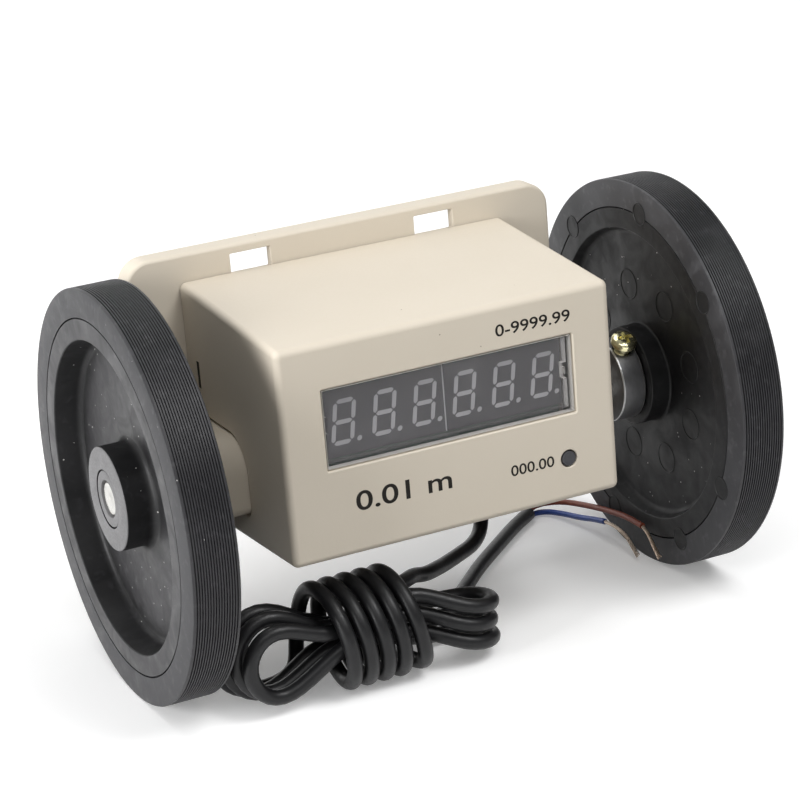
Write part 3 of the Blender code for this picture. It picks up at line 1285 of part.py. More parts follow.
def hank_curve():
    entry = end_on(LEAD_ROUTE)
    controls = list(entry) + list(HANK_ENTRY) + hank_loops() + wrap_points() + list(HANK_EXIT)
    return smooth_curve(controls, HANK_SAMPLES)


def least_gap(points, diameter, skip):
    """Smallest surface gap between stretches of one tube that are more than skip apart along it."""
    lengths = [0.0]
    for first, second in zip(points, points[1:]):
        lengths.append(lengths[-1] + (second - first).length)
    least = math.inf
    for i in range(len(points) - 1):
        for j in range(i + 1, len(points) - 1):
            if lengths[j] - lengths[i + 1] < skip:
                continue
            least = min(least, segment_distance(points[i], points[i + 1], points[j], points[j + 1]))
    return least - diameter


def segment_distance(p, q, r, s):
    u = q - p
    v = s - r
    w = p - r
    a, b, c, d, e = u.dot(u), u.dot(v), v.dot(v), u.dot(w), v.dot(w)
    determinant = a * c - b * b
    parallel = determinant <= PARALLEL_SHARE * a * c
    s_share = 0.0 if parallel else min(1.0, max(0.0, (b * e - c * d) / determinant))
    t_share = 0.0 if c == 0 else (b * s_share + e) / c
    if t_share < 0:
        t_share = 0.0
        s_share = min(1.0, max(0.0, -d / a))
    elif t_share > 1:
        t_share = 1.0
        s_share = min(1.0, max(0.0, (b - d) / a))
    return (w + u * s_share - v * t_share).length


def cords(finishes):
    tube("cord_lead", through_points(LEAD_ROUTE, 4), CORD_DIAMETER, 2, finishes["cord"])
    points = hank_curve()
    tube("cord_hank", points, CORD_DIAMETER, 1, finishes["cord"])
    gap = least_gap(points, CORD_DIAMETER, HANK_NEIGHBOUR_SHARE * CORD_DIAMETER)
    print("cord_hank least gap %.2f mm" % (gap / MM))
    tube("cord_tail", through_points(TAIL_ROUTE, 4), CORD_DIAMETER, 2, finishes["cord"])
    tube("brown_core", through_points(BROWN_ROUTE, 3), CORE_DIAMETER, 2, finishes["brown"])
    tube("blue_core", through_points(BLUE_ROUTE, 3), CORE_DIAMETER, 2, finishes["blue"])
    tube("brown_strand", through_points(BROWN_STRAND_ROUTE, 3), STRAND_DIAMETER, 2, finishes["copper"])
    tube("blue_strand", through_points(BLUE_STRAND_ROUTE, 3), STRAND_DIAMETER, 2, finishes["copper"])


def wheel_body(finishes):
    """Everything that turns with the shaft."""
    left_inner, _ = pillar_span(-1)
    right_inner, _ = pillar_span(1)
    pieces = wheel("left", -1, finishes) + wheel("right", 1, finishes)
    pieces += axle_shaft(finishes) + clamp_collar(finishes) + encoder(finishes)
    pieces += retaining_ring("left_retaining_ring", left_inner + SEAT_GAP, finishes)
    pieces += retaining_ring("right_retaining_ring", right_inner - SEAT_GAP - RING_THICKNESS, finishes)
    body("wheels", (0, 0, AXLE_Z), pieces)


def main():
    clear_scene()
    finishes = make_materials()
    base_plate(finishes)
    bearing_bush("left_bearing_bush", -1, finishes)
    bearing_bush("right_bearing_bush", 1, finishes)
    front_cover(finishes)
    display_lens(finishes)
    led_module("led_module_left", -1, finishes)
    led_module("led_module_right", 1, finishes)
    display_board(finishes)
    reset_switch(finishes)
    main_board(finishes)
    transformer(finishes)
    main_board_parts(finishes)
    photo_interrupter(finishes)
    case_screws(finishes)
    cord_gland(finishes)
    cords(finishes)
    wheel_body(finishes)
    body("reset", (RESET_X, CASE_FRONT_Y - RESET_PROUD, RESET_Z), reset_button(finishes))


main()
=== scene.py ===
"""The looks of the two-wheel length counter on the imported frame. Metres, +Z up, display towards -Y."""

import math

import bmesh
import bpy
from mathutils import Matrix, Vector


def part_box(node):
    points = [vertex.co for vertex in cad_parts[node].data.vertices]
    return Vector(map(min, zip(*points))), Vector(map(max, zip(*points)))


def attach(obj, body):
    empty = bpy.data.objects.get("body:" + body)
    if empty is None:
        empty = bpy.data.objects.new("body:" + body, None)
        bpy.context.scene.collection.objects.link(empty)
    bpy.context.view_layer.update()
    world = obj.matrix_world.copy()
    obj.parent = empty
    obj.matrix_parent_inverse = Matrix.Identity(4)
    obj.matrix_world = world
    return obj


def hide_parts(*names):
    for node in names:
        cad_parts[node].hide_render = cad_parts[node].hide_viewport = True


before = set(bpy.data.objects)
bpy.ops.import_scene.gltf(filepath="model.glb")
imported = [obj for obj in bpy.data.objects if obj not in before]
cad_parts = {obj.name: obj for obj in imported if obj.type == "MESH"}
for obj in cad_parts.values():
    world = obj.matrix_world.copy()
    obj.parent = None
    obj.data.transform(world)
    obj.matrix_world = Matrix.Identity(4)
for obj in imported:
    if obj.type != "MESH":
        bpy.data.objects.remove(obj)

MM = 0.001
QUARTER = math.pi / 2
EVEN = (1.0, 1.0, 1.0)
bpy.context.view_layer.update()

# The sizes of the CAD model that the fine pieces repeat
SEAT_GAP = 0.3 * MM
WHEEL_RADIUS = 300.0 * MM / math.tau
AXLE_Z = WHEEL_RADIUS
WHEEL_FACE = 73.4 * MM
WHEEL_INSIDE = 62.3 * MM
TYRE_THICKNESS = 6.65 * MM
RIM_RADIUS = WHEEL_RADIUS - TYRE_THICKNESS - SEAT_GAP
DISH_RADIUS = RIM_RADIUS - 4.8 * MM
DISH_FLOOR = DISH_RADIUS - 1.0 * MM
BOSS_RADIUS = 12.0 * MM
BOSS_OUT = 74.15 * MM
BOSS_IN = 59.6 * MM
WEB_OUT = 66.9 * MM
WEB_IN = 65.0 * MM
INSERT_RADIUS = 6.5 * MM
SHAFT_RADIUS = 4.0 * MM
CASE_CENTRE_X = -2.8 * MM
CASE_WIDTH = 82.2 * MM
CASE_HEIGHT = 50.0 * MM
CASE_DEPTH = 51.5 * MM
CASE_WALL = 2.2 * MM
CASE_EDGE = 1.6 * MM
SIDE_DRAFT = 0.7 * MM
TOP_DRAFT = 3.9 * MM
BOTTOM_DRAFT = 1.95 * MM
CASE_FRONT_Y = -31.9 * MM
CASE_BACK_Y = CASE_FRONT_Y + CASE_DEPTH
CASE_FLOOR_Z = AXLE_Z - 14.2 * MM
CASE_TOP_Z = CASE_FLOOR_Z + CASE_HEIGHT
CASE_BACK_TOP_Z = CASE_TOP_Z + TOP_DRAFT
WINDOW_WIDTH = 62.2 * MM
WINDOW_HEIGHT = 18.8 * MM
WINDOW_Z = CASE_FLOOR_Z + 20.7 * MM
RESET_X = CASE_CENTRE_X + 28.4 * MM
RESET_Z = CASE_FLOOR_Z + 10.1 * MM
PLATE_MARGIN = 6.6 * MM
PLATE_WIDTH = 109.3 * MM
PLATE_Y = CASE_BACK_Y + SEAT_GAP
PLATE_THICKNESS = 2.4 * MM
PLATE_BACK_Y = PLATE_Y + PLATE_THICKNESS
PLATE_RIM_Y = PLATE_Y + 5.65 * MM
PLATE_TOP_Z = CASE_BACK_TOP_Z + PLATE_MARGIN
PLATE_BOTTOM_Z = CASE_FLOOR_Z - BOTTOM_DRAFT - PLATE_MARGIN
PLATE_CORNER = 6.0 * MM
PLATE_RIM_WALL = 1.8 * MM
PILLAR_LENGTH = 16.5 * MM
PILLAR_PROUD = 7.0 * MM
SCREW_CORNERS = ("upper_left", "upper_right", "lower_left", "lower_right")
OVERRUN = 2.0 * MM
CORD_DIAMETER = 3.6 * MM
CORE_DIAMETER = 1.5 * MM


def mm(*places):
    """Places or outline points that are given in millimetres."""
    return [tuple(value * MM for value in place) for place in places]


def linked(name, data):
    item = bpy.data.objects.new(name, data)
    bpy.context.scene.collection.objects.link(item)
    return item


# Camera

def add_camera():
    data = bpy.data.cameras.new("camera")
    data.lens = 122.63
    data.sensor_width = 36.0
    data.clip_start = 0.01
    camera = linked("camera", data)
    right = Vector((0.89572, -0.43753, -0.07917))
    up = Vector((0.20923, 0.25766, 0.94332))
    back = Vector((-0.39233, -0.86150, 0.32234))
    matrix = Matrix((right, up, back)).transposed().to_4x4()
    matrix.translation = Vector((-0.249221, -0.545491, 0.259013))
    camera.matrix_world = matrix
    bpy.context.scene.camera = camera


# Materials

class Shader:
    """A material with a Principled shader and short calls for its nodes."""

    def __init__(self, name, colour, roughness, metallic=0.0, gloss=0.5):
        self.material = bpy.data.materials.new(name)
        self.material.use_nodes = True
        self.tree = self.material.node_tree
        self.main = self.tree.nodes["Principled BSDF"]
        self.normal = None
        values = {"Base Color": (*colour, 1.0), "Roughness": roughness, "Metallic": metallic,
                  "Specular IOR Level": gloss}
        for key, value in values.items():
            self.main.inputs[key].default_value = value

    def node(self, kind, inputs=None, **settings):
        made = self.tree.nodes.new("ShaderNode" + kind)
        for key, value in settings.items():
            setattr(made, key, value)
        for key, value in (inputs or {}).items():
            self.put(made.inputs[key], value)
        return made

    def put(self, socket, value):
        if isinstance(value, bpy.types.NodeSocket):
            self.tree.links.new(value, socket)
        else:
            socket.default_value = value

    def place(self, stretch=EVEN):
        coordinates = self.node("TexCoord").outputs["Object"]
        return self.node("Mapping", {"Vector": coordinates, "Scale": stretch}).outputs[0]

    def noise(self, scale, detail=3.0, stretch=EVEN, distortion=0.0):
        inputs = {"Vector": self.place(stretch), "Scale": scale, "Detail": detail, "Distortion": distortion}
        return self.node("TexNoise", inputs).outputs["Fac"]

    def ramp(self, factor, low, high, first=0.0, last=1.0):
        """factor from low to high becomes first to last, held at the ends."""
        inputs = {"Value": factor, "From Min": low, "From Max": high, "To Min": first, "To Max": last}
        return self.node("MapRange", inputs).outputs[0]

    def number(self, operation, first, second):
        return self.node("Math", {0: first, 1: second}, operation=operation).outputs[0]

    def vector(self, operation, *values):
        inputs = dict(enumerate(values))
        return self.node("VectorMath", inputs, operation=operation).outputs

    def tint(self, factor, colour):
        """Mixes colour over the base colour by factor."""
        socket = self.main.inputs["Base Color"]
        below = socket.links[0].from_socket if socket.is_linked else tuple(socket.default_value)
        mix = self.node("Mix", {0: factor, 6: below, 7: (*colour, 1.0)}, data_type="RGBA")
        self.put(socket, mix.outputs[2])

    def patches(self, factor, low, high, share, colour):
        """Tints up to share of colour where factor rises from low to high."""
        self.tint(self.ramp(factor, low, high, 0.0, share), colour)

    def specks(self, scale, size, amount, colour):
        """Tints small round specks on about amount of the cells."""
        cells = self.node("TexVoronoi", {"Vector": self.place(), "Scale": scale})
        near = self.number("LESS_THAN", cells.outputs["Distance"], size)
        cell = self.node("SeparateColor", {"Color": cells.outputs["Color"]})
        chosen = self.number("LESS_THAN", cell.outputs[0], amount)
        self.tint(self.number("MULTIPLY", near, chosen), colour)

    def rough(self, factor, smooth, coarse, low=0.3, high=0.7):
        """Roughness goes from smooth to coarse where factor rises from low to high."""
        self.put(self.main.inputs["Roughness"], self.ramp(factor, low, high, smooth, coarse))

    def bump(self, height, depth, strength=1.0):
        """Adds a bump of depth metres over the one before."""
        inputs = {"Height": height, "Distance": depth, "Strength": strength}
        if self.normal is not None:
            inputs["Normal"] = self.normal
        self.normal = self.node("Bump", inputs).outputs[0]
        self.put(self.main.inputs["Normal"], self.normal)

    def mix_with_clear(self, share, colour):
        """Keeps share of the shader and lets the view through for the rest, tinted by colour."""
        clear = self.node("BsdfTransparent", {"Color": (*colour, 1.0)})
        mix = self.node("MixShader", {0: share, 1: clear.outputs[0], 2: self.main.outputs[0]})
        self.put(self.tree.nodes["Material Output"].inputs["Surface"], mix.outputs[0])


def ivory_plastic():
    shader = Shader("ivory_plastic", (0.68, 0.615, 0.515), 0.48, gloss=0.22)
    shader.patches(shader.noise(28.0, 4.0), 0.35, 0.75, 0.5, (0.64, 0.575, 0.47))
    shader.specks(210.0, 0.035, 0.12, (0.3, 0.25, 0.19))
    grain = shader.noise(1500.0, 2.0)
    shader.rough(grain, 0.42, 0.54)
    shader.bump(grain, 0.04 * MM, 0.35)
    shader.bump(shader.noise(90.0, 2.0), 0.06 * MM, 0.2)
    return shader.material


def black_plastic(name, colour, gloss, haze, scuffs, corners=None):
    shader = Shader(name, colour, 0.5, gloss=gloss)
    shader.patches(shader.noise(75.0, 8.0, EVEN, 1.2), 0.48, 0.78, 0.6, haze)
    shader.patches(shader.noise(420.0, 6.0, EVEN, 0.6), 0.56, 0.78, 0.6, scuffs)
    # Painted shade: the dish's floor darkens towards its corners.
    if corners:
        paint_corner_shade(shader, corners)
    shader.specks(400.0, 0.075, 0.3, (0.42, 0.41, 0.4))
    streak = shader.noise(160.0, 5.0, (0.35, 1.0, 1.0), 0.8)
    shader.rough(streak, 0.38, 0.6)
    shader.bump(shader.noise(900.0, 2.0), 0.04 * MM, 0.35)
    shader.bump(streak, 0.1 * MM, 0.15)
    return shader.material


def paint_corner_shade(shader, colour):
    """Painted shade: tints the dish's floor darker towards its boss and towards its rim."""
    boss_start, boss_end = BOSS_RADIUS + 1.2 * MM, BOSS_RADIUS + 6.0 * MM
    rim_start, rim_end = DISH_FLOOR - 5.0 * MM, DISH_FLOOR - 1.0 * MM
    place = shader.node("TexCoord").outputs["Object"]
    across = shader.vector("SUBTRACT", place, (0.0, 0.0, AXLE_Z))[0]
    flat = shader.vector("MULTIPLY", across, (0.0, 1.0, 1.0))[0]
    radius = shader.vector("LENGTH", flat)["Value"]
    boss = shader.ramp(radius, boss_start, boss_end, 1.0, 0.0)
    rim = shader.ramp(radius, rim_start, rim_end)
    shader.tint(shader.number("MAXIMUM", boss, rim), colour)


def tyre_rubber():
    shader = Shader("tyre_rubber", (0.018, 0.0178, 0.0205), 0.5)
    scuff = shader.noise(90.0, 8.0, EVEN, 1.5)
    shader.patches(scuff, 0.48, 0.8, 0.6, (0.055, 0.0545, 0.059))
    shader.patches(shader.noise(520.0, 6.0), 0.56, 0.78, 0.55, (0.08, 0.079, 0.084))
    shader.specks(300.0, 0.045, 0.14, (0.4, 0.39, 0.38))
    shader.rough(scuff, 0.42, 0.62, 0.3, 0.75)
    shader.bump(shader.noise(1100.0, 3.0), 0.04 * MM, 0.4)
    return shader.material


def metal(name, colour, smooth, coarse, stretch=EVEN, scale=900.0, spots=None):
    shader = Shader(name, colour, smooth, 1.0)
    lines = shader.noise(scale, 4.0, stretch)
    shader.rough(lines, smooth, coarse)
    if spots:
        shader.patches(shader.noise(160.0, 5.0), 0.45, 0.75, 0.7, spots)
    shader.bump(lines, 0.02 * MM, 0.3)
    return shader.material


def plain_plastic(name, colour, smooth, coarse, second, scale=60.0, gloss=0.5):
    shader = Shader(name, colour, smooth, gloss=gloss)
    shader.patches(shader.noise(scale, 4.0), 0.4, 0.75, 0.6, second)
    shader.rough(shader.noise(scale * 12, 2.0), smooth, coarse)
    shader.bump(shader.noise(scale * 18, 2.0), 0.03 * MM, 0.25)
    return shader.material


def clear_plastic():
    """It lets the view through and mirrors the room at its gloss, the same from both sides."""
    index = 1.46
    shader = Shader("clear_plastic", (0.93, 0.92, 0.93), 0.06, 1.0)
    smear = shader.noise(120.0, 5.0, EVEN, 1.0)
    shader.rough(smear, 0.03, 0.14, 0.35, 0.7)
    behind = shader.node("NewGeometry").outputs["Backfacing"]
    fresnel = shader.node("Fresnel", {"IOR": shader.ramp(behind, 0.0, 1.0, index, 1 / index)})
    share = shader.number("ADD", fresnel.outputs[0], shader.ramp(smear, 0.5, 0.8, 0.0, 0.012))
    shader.mix_with_clear(share, (0.965, 0.96, 0.965))
    return shader.material


def painted_lens_light():
    """Painted light: a pale diffuse white on the lens's walls and clips, where they catch the light."""
    shader = Shader("painted_lens_light", (0.84, 0.82, 0.78), 0.3)
    cloud = shader.noise(260.0, 5.0)
    shader.patches(cloud, 0.4, 0.7, 0.7, (0.7, 0.69, 0.66))
    shader.bump(cloud, 0.05 * MM, 0.5)
    shader.mix_with_clear(shader.ramp(cloud, 0.3, 0.7, 0.6, 0.85), (0.95, 0.95, 0.95))
    return shader.material


def circuit_board():
    shader = Shader("circuit_board", (0.02, 0.14, 0.06), 0.4)
    tracks = shader.node("TexBrick", {"Vector": shader.place(), "Scale": 90.0, "Mortar Size": 0.012})
    shader.patches(tracks.outputs["Fac"], 0.0, 1.0, 0.7, (0.03, 0.24, 0.1))
    shader.rough(shader.noise(300.0), 0.3, 0.5)
    shader.bump(tracks.outputs["Fac"], 0.03 * MM, 0.4)
    return shader.material


# Black plastics: name, colour, gloss, haze, scuffs and, on the dish's floor, the painted shade in its
# corners
DUSTY = ((0.016, 0.0155, 0.0174), 0.58, (0.045, 0.044, 0.048), (0.068, 0.066, 0.071))
BLACKS = {
    "black": ("black_plastic", *DUSTY),
    "web": ("web_black_corner_shade", *DUSTY, (0.003, 0.003, 0.0034)),
    # Painted shade: the inner black is a darker black for the wheels' inner sides, walls and corners.
    "inner": ("painted_shade_black", (0.0035, 0.0034, 0.004), 0.34, (0.012, 0.0118, 0.013), (0.022, 0.0215, 0.024)),
}
# Metals: name, colour, least and most roughness, stretch and scale of the brushing, colour of the spots
METALS = {
    "steel": ("bright_steel", (0.66, 0.65, 0.62), 0.22, 0.38, (1.0, 0.2, 0.2), 1400.0, (0.42, 0.4, 0.37)),
    "collar": ("dull_steel", (0.23, 0.23, 0.235), 0.42, 0.6, (2.0, 0.8, 0.8), 900.0, (0.13, 0.13, 0.135)),
    # Painted highlight: the edge metal is a brighter steel for the collar's rounds.
    "edge": ("painted_edge_highlight", (0.6, 0.6, 0.6), 0.3, 0.45),
    "zinc": ("yellow_zinc", (0.86, 0.81, 0.5), 0.14, 0.28, EVEN, 700.0, (0.8, 0.76, 0.5)),
    "bronze": ("bearing_bronze", (0.5, 0.32, 0.16), 0.35, 0.5),
    "iron": ("core_iron", (0.2, 0.2, 0.21), 0.4, 0.6, (0.1, 6.0, 0.1), 700.0),
    "copper": ("tinned_copper", (0.62, 0.53, 0.44), 0.25, 0.4, EVEN, 1500.0, (0.6, 0.42, 0.3)),
}
# Plastics: name, colour, least and most roughness, colour of the patches, their scale, gloss
PLASTICS = {
    "worn": ("worn_black", (0.13, 0.128, 0.131), 0.42, 0.6, (0.2, 0.198, 0.202), 160.0, 0.4),
    "shade": ("slit_shade", (0.05, 0.044, 0.036), 0.6, 0.7, (0.07, 0.062, 0.05), 60.0, 0.1),
    "panel": ("display_panel", (0.014, 0.0135, 0.016), 0.55, 0.7, (0.021, 0.02, 0.024), 60.0, 0.2),
    "segment": ("display_segment", (0.41, 0.41, 0.42), 0.5, 0.6, (0.36, 0.36, 0.37), 60.0, 0.3),
    "button": ("button_grey", (0.035, 0.035, 0.04), 0.5, 0.66, (0.06, 0.06, 0.065), 140.0),
    "chip": ("chip_black", (0.02, 0.02, 0.022), 0.4, 0.6, (0.035, 0.035, 0.037)),
    "tape": ("winding_tape", (0.6, 0.43, 0.06), 0.3, 0.45, (0.5, 0.35, 0.05)),
    "can": ("capacitor_sleeve", (0.02, 0.04, 0.1), 0.25, 0.4, (0.03, 0.05, 0.12)),
    "film": ("encoder_film", (0.04, 0.04, 0.042), 0.2, 0.3, (0.05, 0.05, 0.055)),
    "cord": ("cord_black", (0.008, 0.008, 0.009), 0.34, 0.46, (0.014, 0.014, 0.015), 90.0, 0.36),
    "brown": ("core_brown", (0.27, 0.048, 0.014), 0.36, 0.5, (0.2, 0.035, 0.012), 200.0),
    "blue": ("core_blue", (0.03, 0.09, 0.42), 0.3, 0.42, (0.025, 0.07, 0.32), 200.0),
    "ink": ("print_black", (0.014, 0.012, 0.01), 0.55, 0.65, (0.022, 0.02, 0.018), 300.0, 0.15),
}


def make_materials():
    finishes = {"ivory": ivory_plastic(), "tyre": tyre_rubber(), "clear": clear_plastic(),
                "lens_light": painted_lens_light(), "board": circuit_board()}
    for make, table in ((black_plastic, BLACKS), (metal, METALS), (plain_plastic, PLASTICS)):
        finishes.update({finish: make(*values) for finish, values in table.items()})
    return finishes


# Mesh helpers

def object_from(name, bm, finish=None, smooth=35):
    bmesh.ops.recalc_face_normals(bm, faces=bm.faces)
    mesh = bpy.data.meshes.new(name)
    bm.to_mesh(mesh)
    bm.free()
    if finish:
        mesh.materials.append(finish)
    result = linked(name, mesh)
    soften(result, smooth)
    return result


def soften(item, degrees=35):
    item.data.shade_smooth()
    item.data.set_sharp_from_angle(angle=math.radians(degrees))


def even_normals(item):
    modifier = item.modifiers.new("normals", "WEIGHTED_NORMAL")
    modifier.keep_sharp = True
    modifier.weight = 100


def paint(item, extra, choose):
    """Gives each face the finish that choose says: 0 is the piece's own, and the extra ones follow it."""
    for finish in extra:
        item.data.materials.append(finish)
    for polygon in item.data.polygons:
        polygon.material_index = choose(polygon)


def axes_of(direction):
    along = Vector(direction).normalized()
    start = Vector((0, 0, 1)) if abs(along.z) < 0.9 else Vector((0, -1, 0))
    across = (start - along * start.dot(along)).normalized()
    return along, across, along.cross(across)


def turned(name, profile, steps, origin, direction, finish=None, smooth=35):
    """Turns a closed (distance along, radius) outline about a line through origin."""
    along, across, other = axes_of(direction)
    bm = bmesh.new()
    rings = []
    for distance, radius in profile:
        centre = Vector(origin) + along * distance
        if radius == 0:
            rings.append([bm.verts.new(centre)])
            continue
        angles = [math.tau * step / steps for step in range(steps)]
        rings.append([bm.verts.new(centre + (across * math.cos(a) + other * math.sin(a)) * radius)
                      for a in angles])
    pairs = list(zip(rings, rings[1:]))
    if all(len(ring) > 1 for ring in rings):
        pairs.append((rings[-1], rings[0]))
    for first, second in pairs:
        for step in range(steps):
            after = (step + 1) % steps
            corners = [first[step % len(first)], first[after % len(first)]]
            corners += [second[after % len(second)], second[step % len(second)]]
            distinct = list(dict.fromkeys(corners))
            if len(distinct) > 2:
                bm.faces.new(distinct)
    return object_from(name, bm, finish, smooth)


def on_axle(name, profile, steps, finish, side=1):
    """A piece turned about the axle, from the middle out to one side."""
    return turned(name, profile, steps, (0, 0, AXLE_Z), (side, 0, 0), finish, 30)


def rod(name, start, end, radius, origin, direction, steps):
    """A plain cylinder from start to end along direction, used to cut holes and to raise posts."""
    return turned(name, [(start, 0), (start, radius), (end, radius), (end, 0)], steps, origin, direction)


def rounded(profile, radii, steps=4):
    """Rounds the corners of a closed outline: radii gives each corner's radius, or one for all."""
    count = len(profile)
    result = []
    for index in range(count):
        radius = radii[index] if isinstance(radii, (list, tuple)) else radii
        here = Vector(profile[index])
        back = Vector(profile[index - 1]) - here
        ahead = Vector(profile[(index + 1) % count]) - here
        reach = min(radius / math.tan(back.angle(ahead) / 2), back.length * 0.45, ahead.length * 0.45)
        start = here + back.normalized() * reach
        end = here + ahead.normalized() * reach
        for step in range(steps + 1):
            t = step / steps
            point = start * (1 - t) ** 2 + here * 2 * t * (1 - t) + end * t ** 2
            result.append(tuple(point))
    return result


def add_loft(bm, loops):
    """Adds a closed body through loops of points, with its two ends filled."""
    rings = [[bm.verts.new(point) for point in loop] for loop in loops]
    bm.faces.new(rings[0])
    bm.faces.new(list(reversed(rings[-1])))
    for first, second in zip(rings, rings[1:]):
        for index in range(len(first)):
            after = (index + 1) % len(first)
            bm.faces.new((first[after], first[index], second[index], second[after]))


def lofted(name, loops, finish=None):
    bm = bmesh.new()
    add_loft(bm, loops)
    return object_from(name, bm, finish)


def box(name, low, high, finish=None, edge=0.0):
    bm = bmesh.new()
    bmesh.ops.create_cube(bm, size=1.0)
    bmesh.ops.scale(bm, vec=Vector(high) - Vector(low), verts=bm.verts)
    bmesh.ops.translate(bm, vec=(Vector(low) + Vector(high)) / 2, verts=bm.verts)
    if edge:
        bmesh.ops.bevel(bm, geom=bm.edges[:], offset=edge, segments=3, profile=0.5, affect="EDGES")
    return object_from(name, bm, finish)


def arc(centre, radius, start, end, steps):
    angles = [start + (end - start) * step / steps for step in range(steps + 1)]
    return [(centre[0] + radius * math.cos(a), centre[1] + radius * math.sin(a)) for a in angles]


def rounded_outline(low, high, radius, steps):
    right, top = high[0] - radius, high[1] - radius
    left, bottom = low[0] + radius, low[1] + radius
    points = []
    for turn, centre in enumerate(((right, top), (left, top), (left, bottom), (right, bottom))):
        points += arc(centre, radius, turn * QUARTER, (turn + 1) * QUARTER, steps)
    return points


def apply_boolean(target, tool, operation):
    modifier = target.modifiers.new("boolean", "BOOLEAN")
    modifier.object = tool
    modifier.operation = operation
    modifier.solver = "EXACT"
    bpy.context.view_layer.update()
    graph = bpy.context.evaluated_depsgraph_get()
    mesh = bpy.data.meshes.new_from_object(target.evaluated_get(graph))
    target.modifiers.remove(modifier)
    old = target.data
    target.data = mesh
    bpy.data.meshes.remove(old)
    bpy.data.objects.remove(tool)


def cut(target, tool):
    apply_boolean(target, tool, "DIFFERENCE")


def join(target, tool):
    apply_boolean(target, tool, "UNION")


def new_curve(name, diameter, resolution, finish):
    curve = bpy.data.curves.new(name, "CURVE")
    curve.dimensions = "3D"
    curve.bevel_depth = diameter / 2
    curve.bevel_resolution = resolution
    curve.use_fill_caps = True
    curve.materials.append(finish)
    return curve


def add_line(curve, points):
    spline = curve.splines.new("POLY")
    spline.points.add(len(points) - 1)
    for point, place in zip(spline.points, points):
        point.co = (*place, 1.0)
    spline.use_smooth = True


def tube(name, points, diameter, finish, resolution):
    curve = new_curve(name, diameter, resolution, finish)
    add_line(curve, points)
    return linked(name, curve)


def keep(piece, body, slot, *nodes):
    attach(piece, body)
    if nodes:
        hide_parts(*nodes)
    return piece


# Cord: the CAD model's routes and hank, as one unbroken cord

GLAND_X = 24.0 * MM
GLAND_Y = 12.0 * MM
GLAND = Vector((GLAND_X, GLAND_Y, CASE_FLOOR_Z - BOTTOM_DRAFT * (GLAND_Y - CASE_FRONT_Y) / CASE_DEPTH))
EXIT_STEP = 2.0 * MM
HANK_AXIS_Y = -25.0 * MM
WRAP_RADIUS = 11.35 * MM
WRAP_TURNS = 5
WRAP_PITCH = 4.16 * MM
WRAP_LEAN = 1.2 * MM
WRAP_LEFT_X = -37.1 * MM
WRAP_EASE_IN = 8.4 * MM
WRAP_EASE_OUT = 2.4 * MM
WRAP_EASE_SHARE = 0.4
WRAP_POINTS = 12
HANK_AXIS_Z = WRAP_RADIUS + CORD_DIAMETER / 2
LOOPS = 4
MIDDLE_LOOP = (LOOPS - 1) / 2
LAYER_STEP = 4.58 * MM
LOOP_LAYER = 4.34 * MM
WAIST_LEFT_X = -37.6 * MM
WAIST_RIGHT_X = -14.2 * MM
WAIST_STEPS = 4
LEFT_RADII = (8.1 * MM, 9.3 * MM, 10.15 * MM, 8.7 * MM)
LEFT_REACH = (-56.5 * MM, -57.8 * MM, -59.0 * MM, -59.6 * MM)
LEFT_CENTRE_Z = (12.4 * MM, 13.1 * MM, 12.5 * MM, 10.9 * MM)
LEFT_ARC_STEP = 46
RIGHT_RADIUS = 8.65 * MM
RIGHT_CENTRE_Y = -25.5 * MM
RIGHT_ARC_STEP = 46.3
RIGHT_REACH = (5.5 * MM, 4.9 * MM, 5.2 * MM)
HANK_ENTRY = mm((-6.0, -15.2, 17.3), (-8.9, -16.5, 18.6))
HANK_EXIT = mm((-15.6, -20.6, 1.8), (-13.5, -16.2, 1.8), (-11.1, -12.1, 1.8), (-5.6, -9.7, 1.8),
               (-1.4, -7.8, 1.8))
LEAD_ROUTE = mm((24.0, 12.0, 21.3), (23.8, 11.8, 17.0), (21.5, 9.0, 13.6), (17.0, 4.3, 12.9),
                (10.5, -1.2, 13.6), (3.5, -7.2, 14.8), (0.0, -10.35, 15.7))
TAIL_ROUTE = mm((-1.1, -7.66, 1.8), (3.0, -5.6, 1.8), (8.0, -1.8, 1.8), (14.5, 5.0, 1.8),
                (23.8, 15.0, 1.8), (34.4, 25.0, 1.8), (43.5, 33.3, 1.8), (50.5, 38.8, 1.8))
BROWN_ROUTE = mm((50.8, 39.0, 2.6), (53.8, 40.4, 2.8), (56.8, 39.0, 3.3), (59.0, 35.2, 4.1),
                 (60.2, 29.0, 5.2), (60.7, 19.0, 7.0), (60.7, 7.0, 8.8), (60.5, -2.5, 9.2))
BLUE_ROUTE = mm((50.8, 39.0, 0.95), (53.6, 40.0, 0.9), (56.2, 38.2, 1.1), (57.8, 33.4, 1.7),
                (58.8, 26.0, 2.8), (59.3, 19.5, 4.2), (59.4, 14.5, 5.2))
BROWN_STRAND_ROUTE = mm((60.4, -2.8, 9.15), (60.2, -5.6, 8.0), (59.9, -8.6, 5.8), (59.5, -11.8, 4.0))
BLUE_STRAND_ROUTE = mm((59.4, 14.2, 5.25), (59.5, 9.5, 5.4), (59.5, 4.5, 4.6), (59.2, 0.5, 2.8),
                       (58.8, -2.5, 1.6))
STRAND_THREADS = 7
STRAND_RADIUS = 0.34 * MM
STRAND_TURNS = 2.4
STRAND_SPREAD = 0.5
THREAD_DIAMETER = 0.26 * MM


def with_ends(route):
    """The route's points, with one more past each end."""
    points = [Vector(place) for place in route]
    return [points[0] * 2 - points[1]] + points + [points[-1] * 2 - points[-2]]


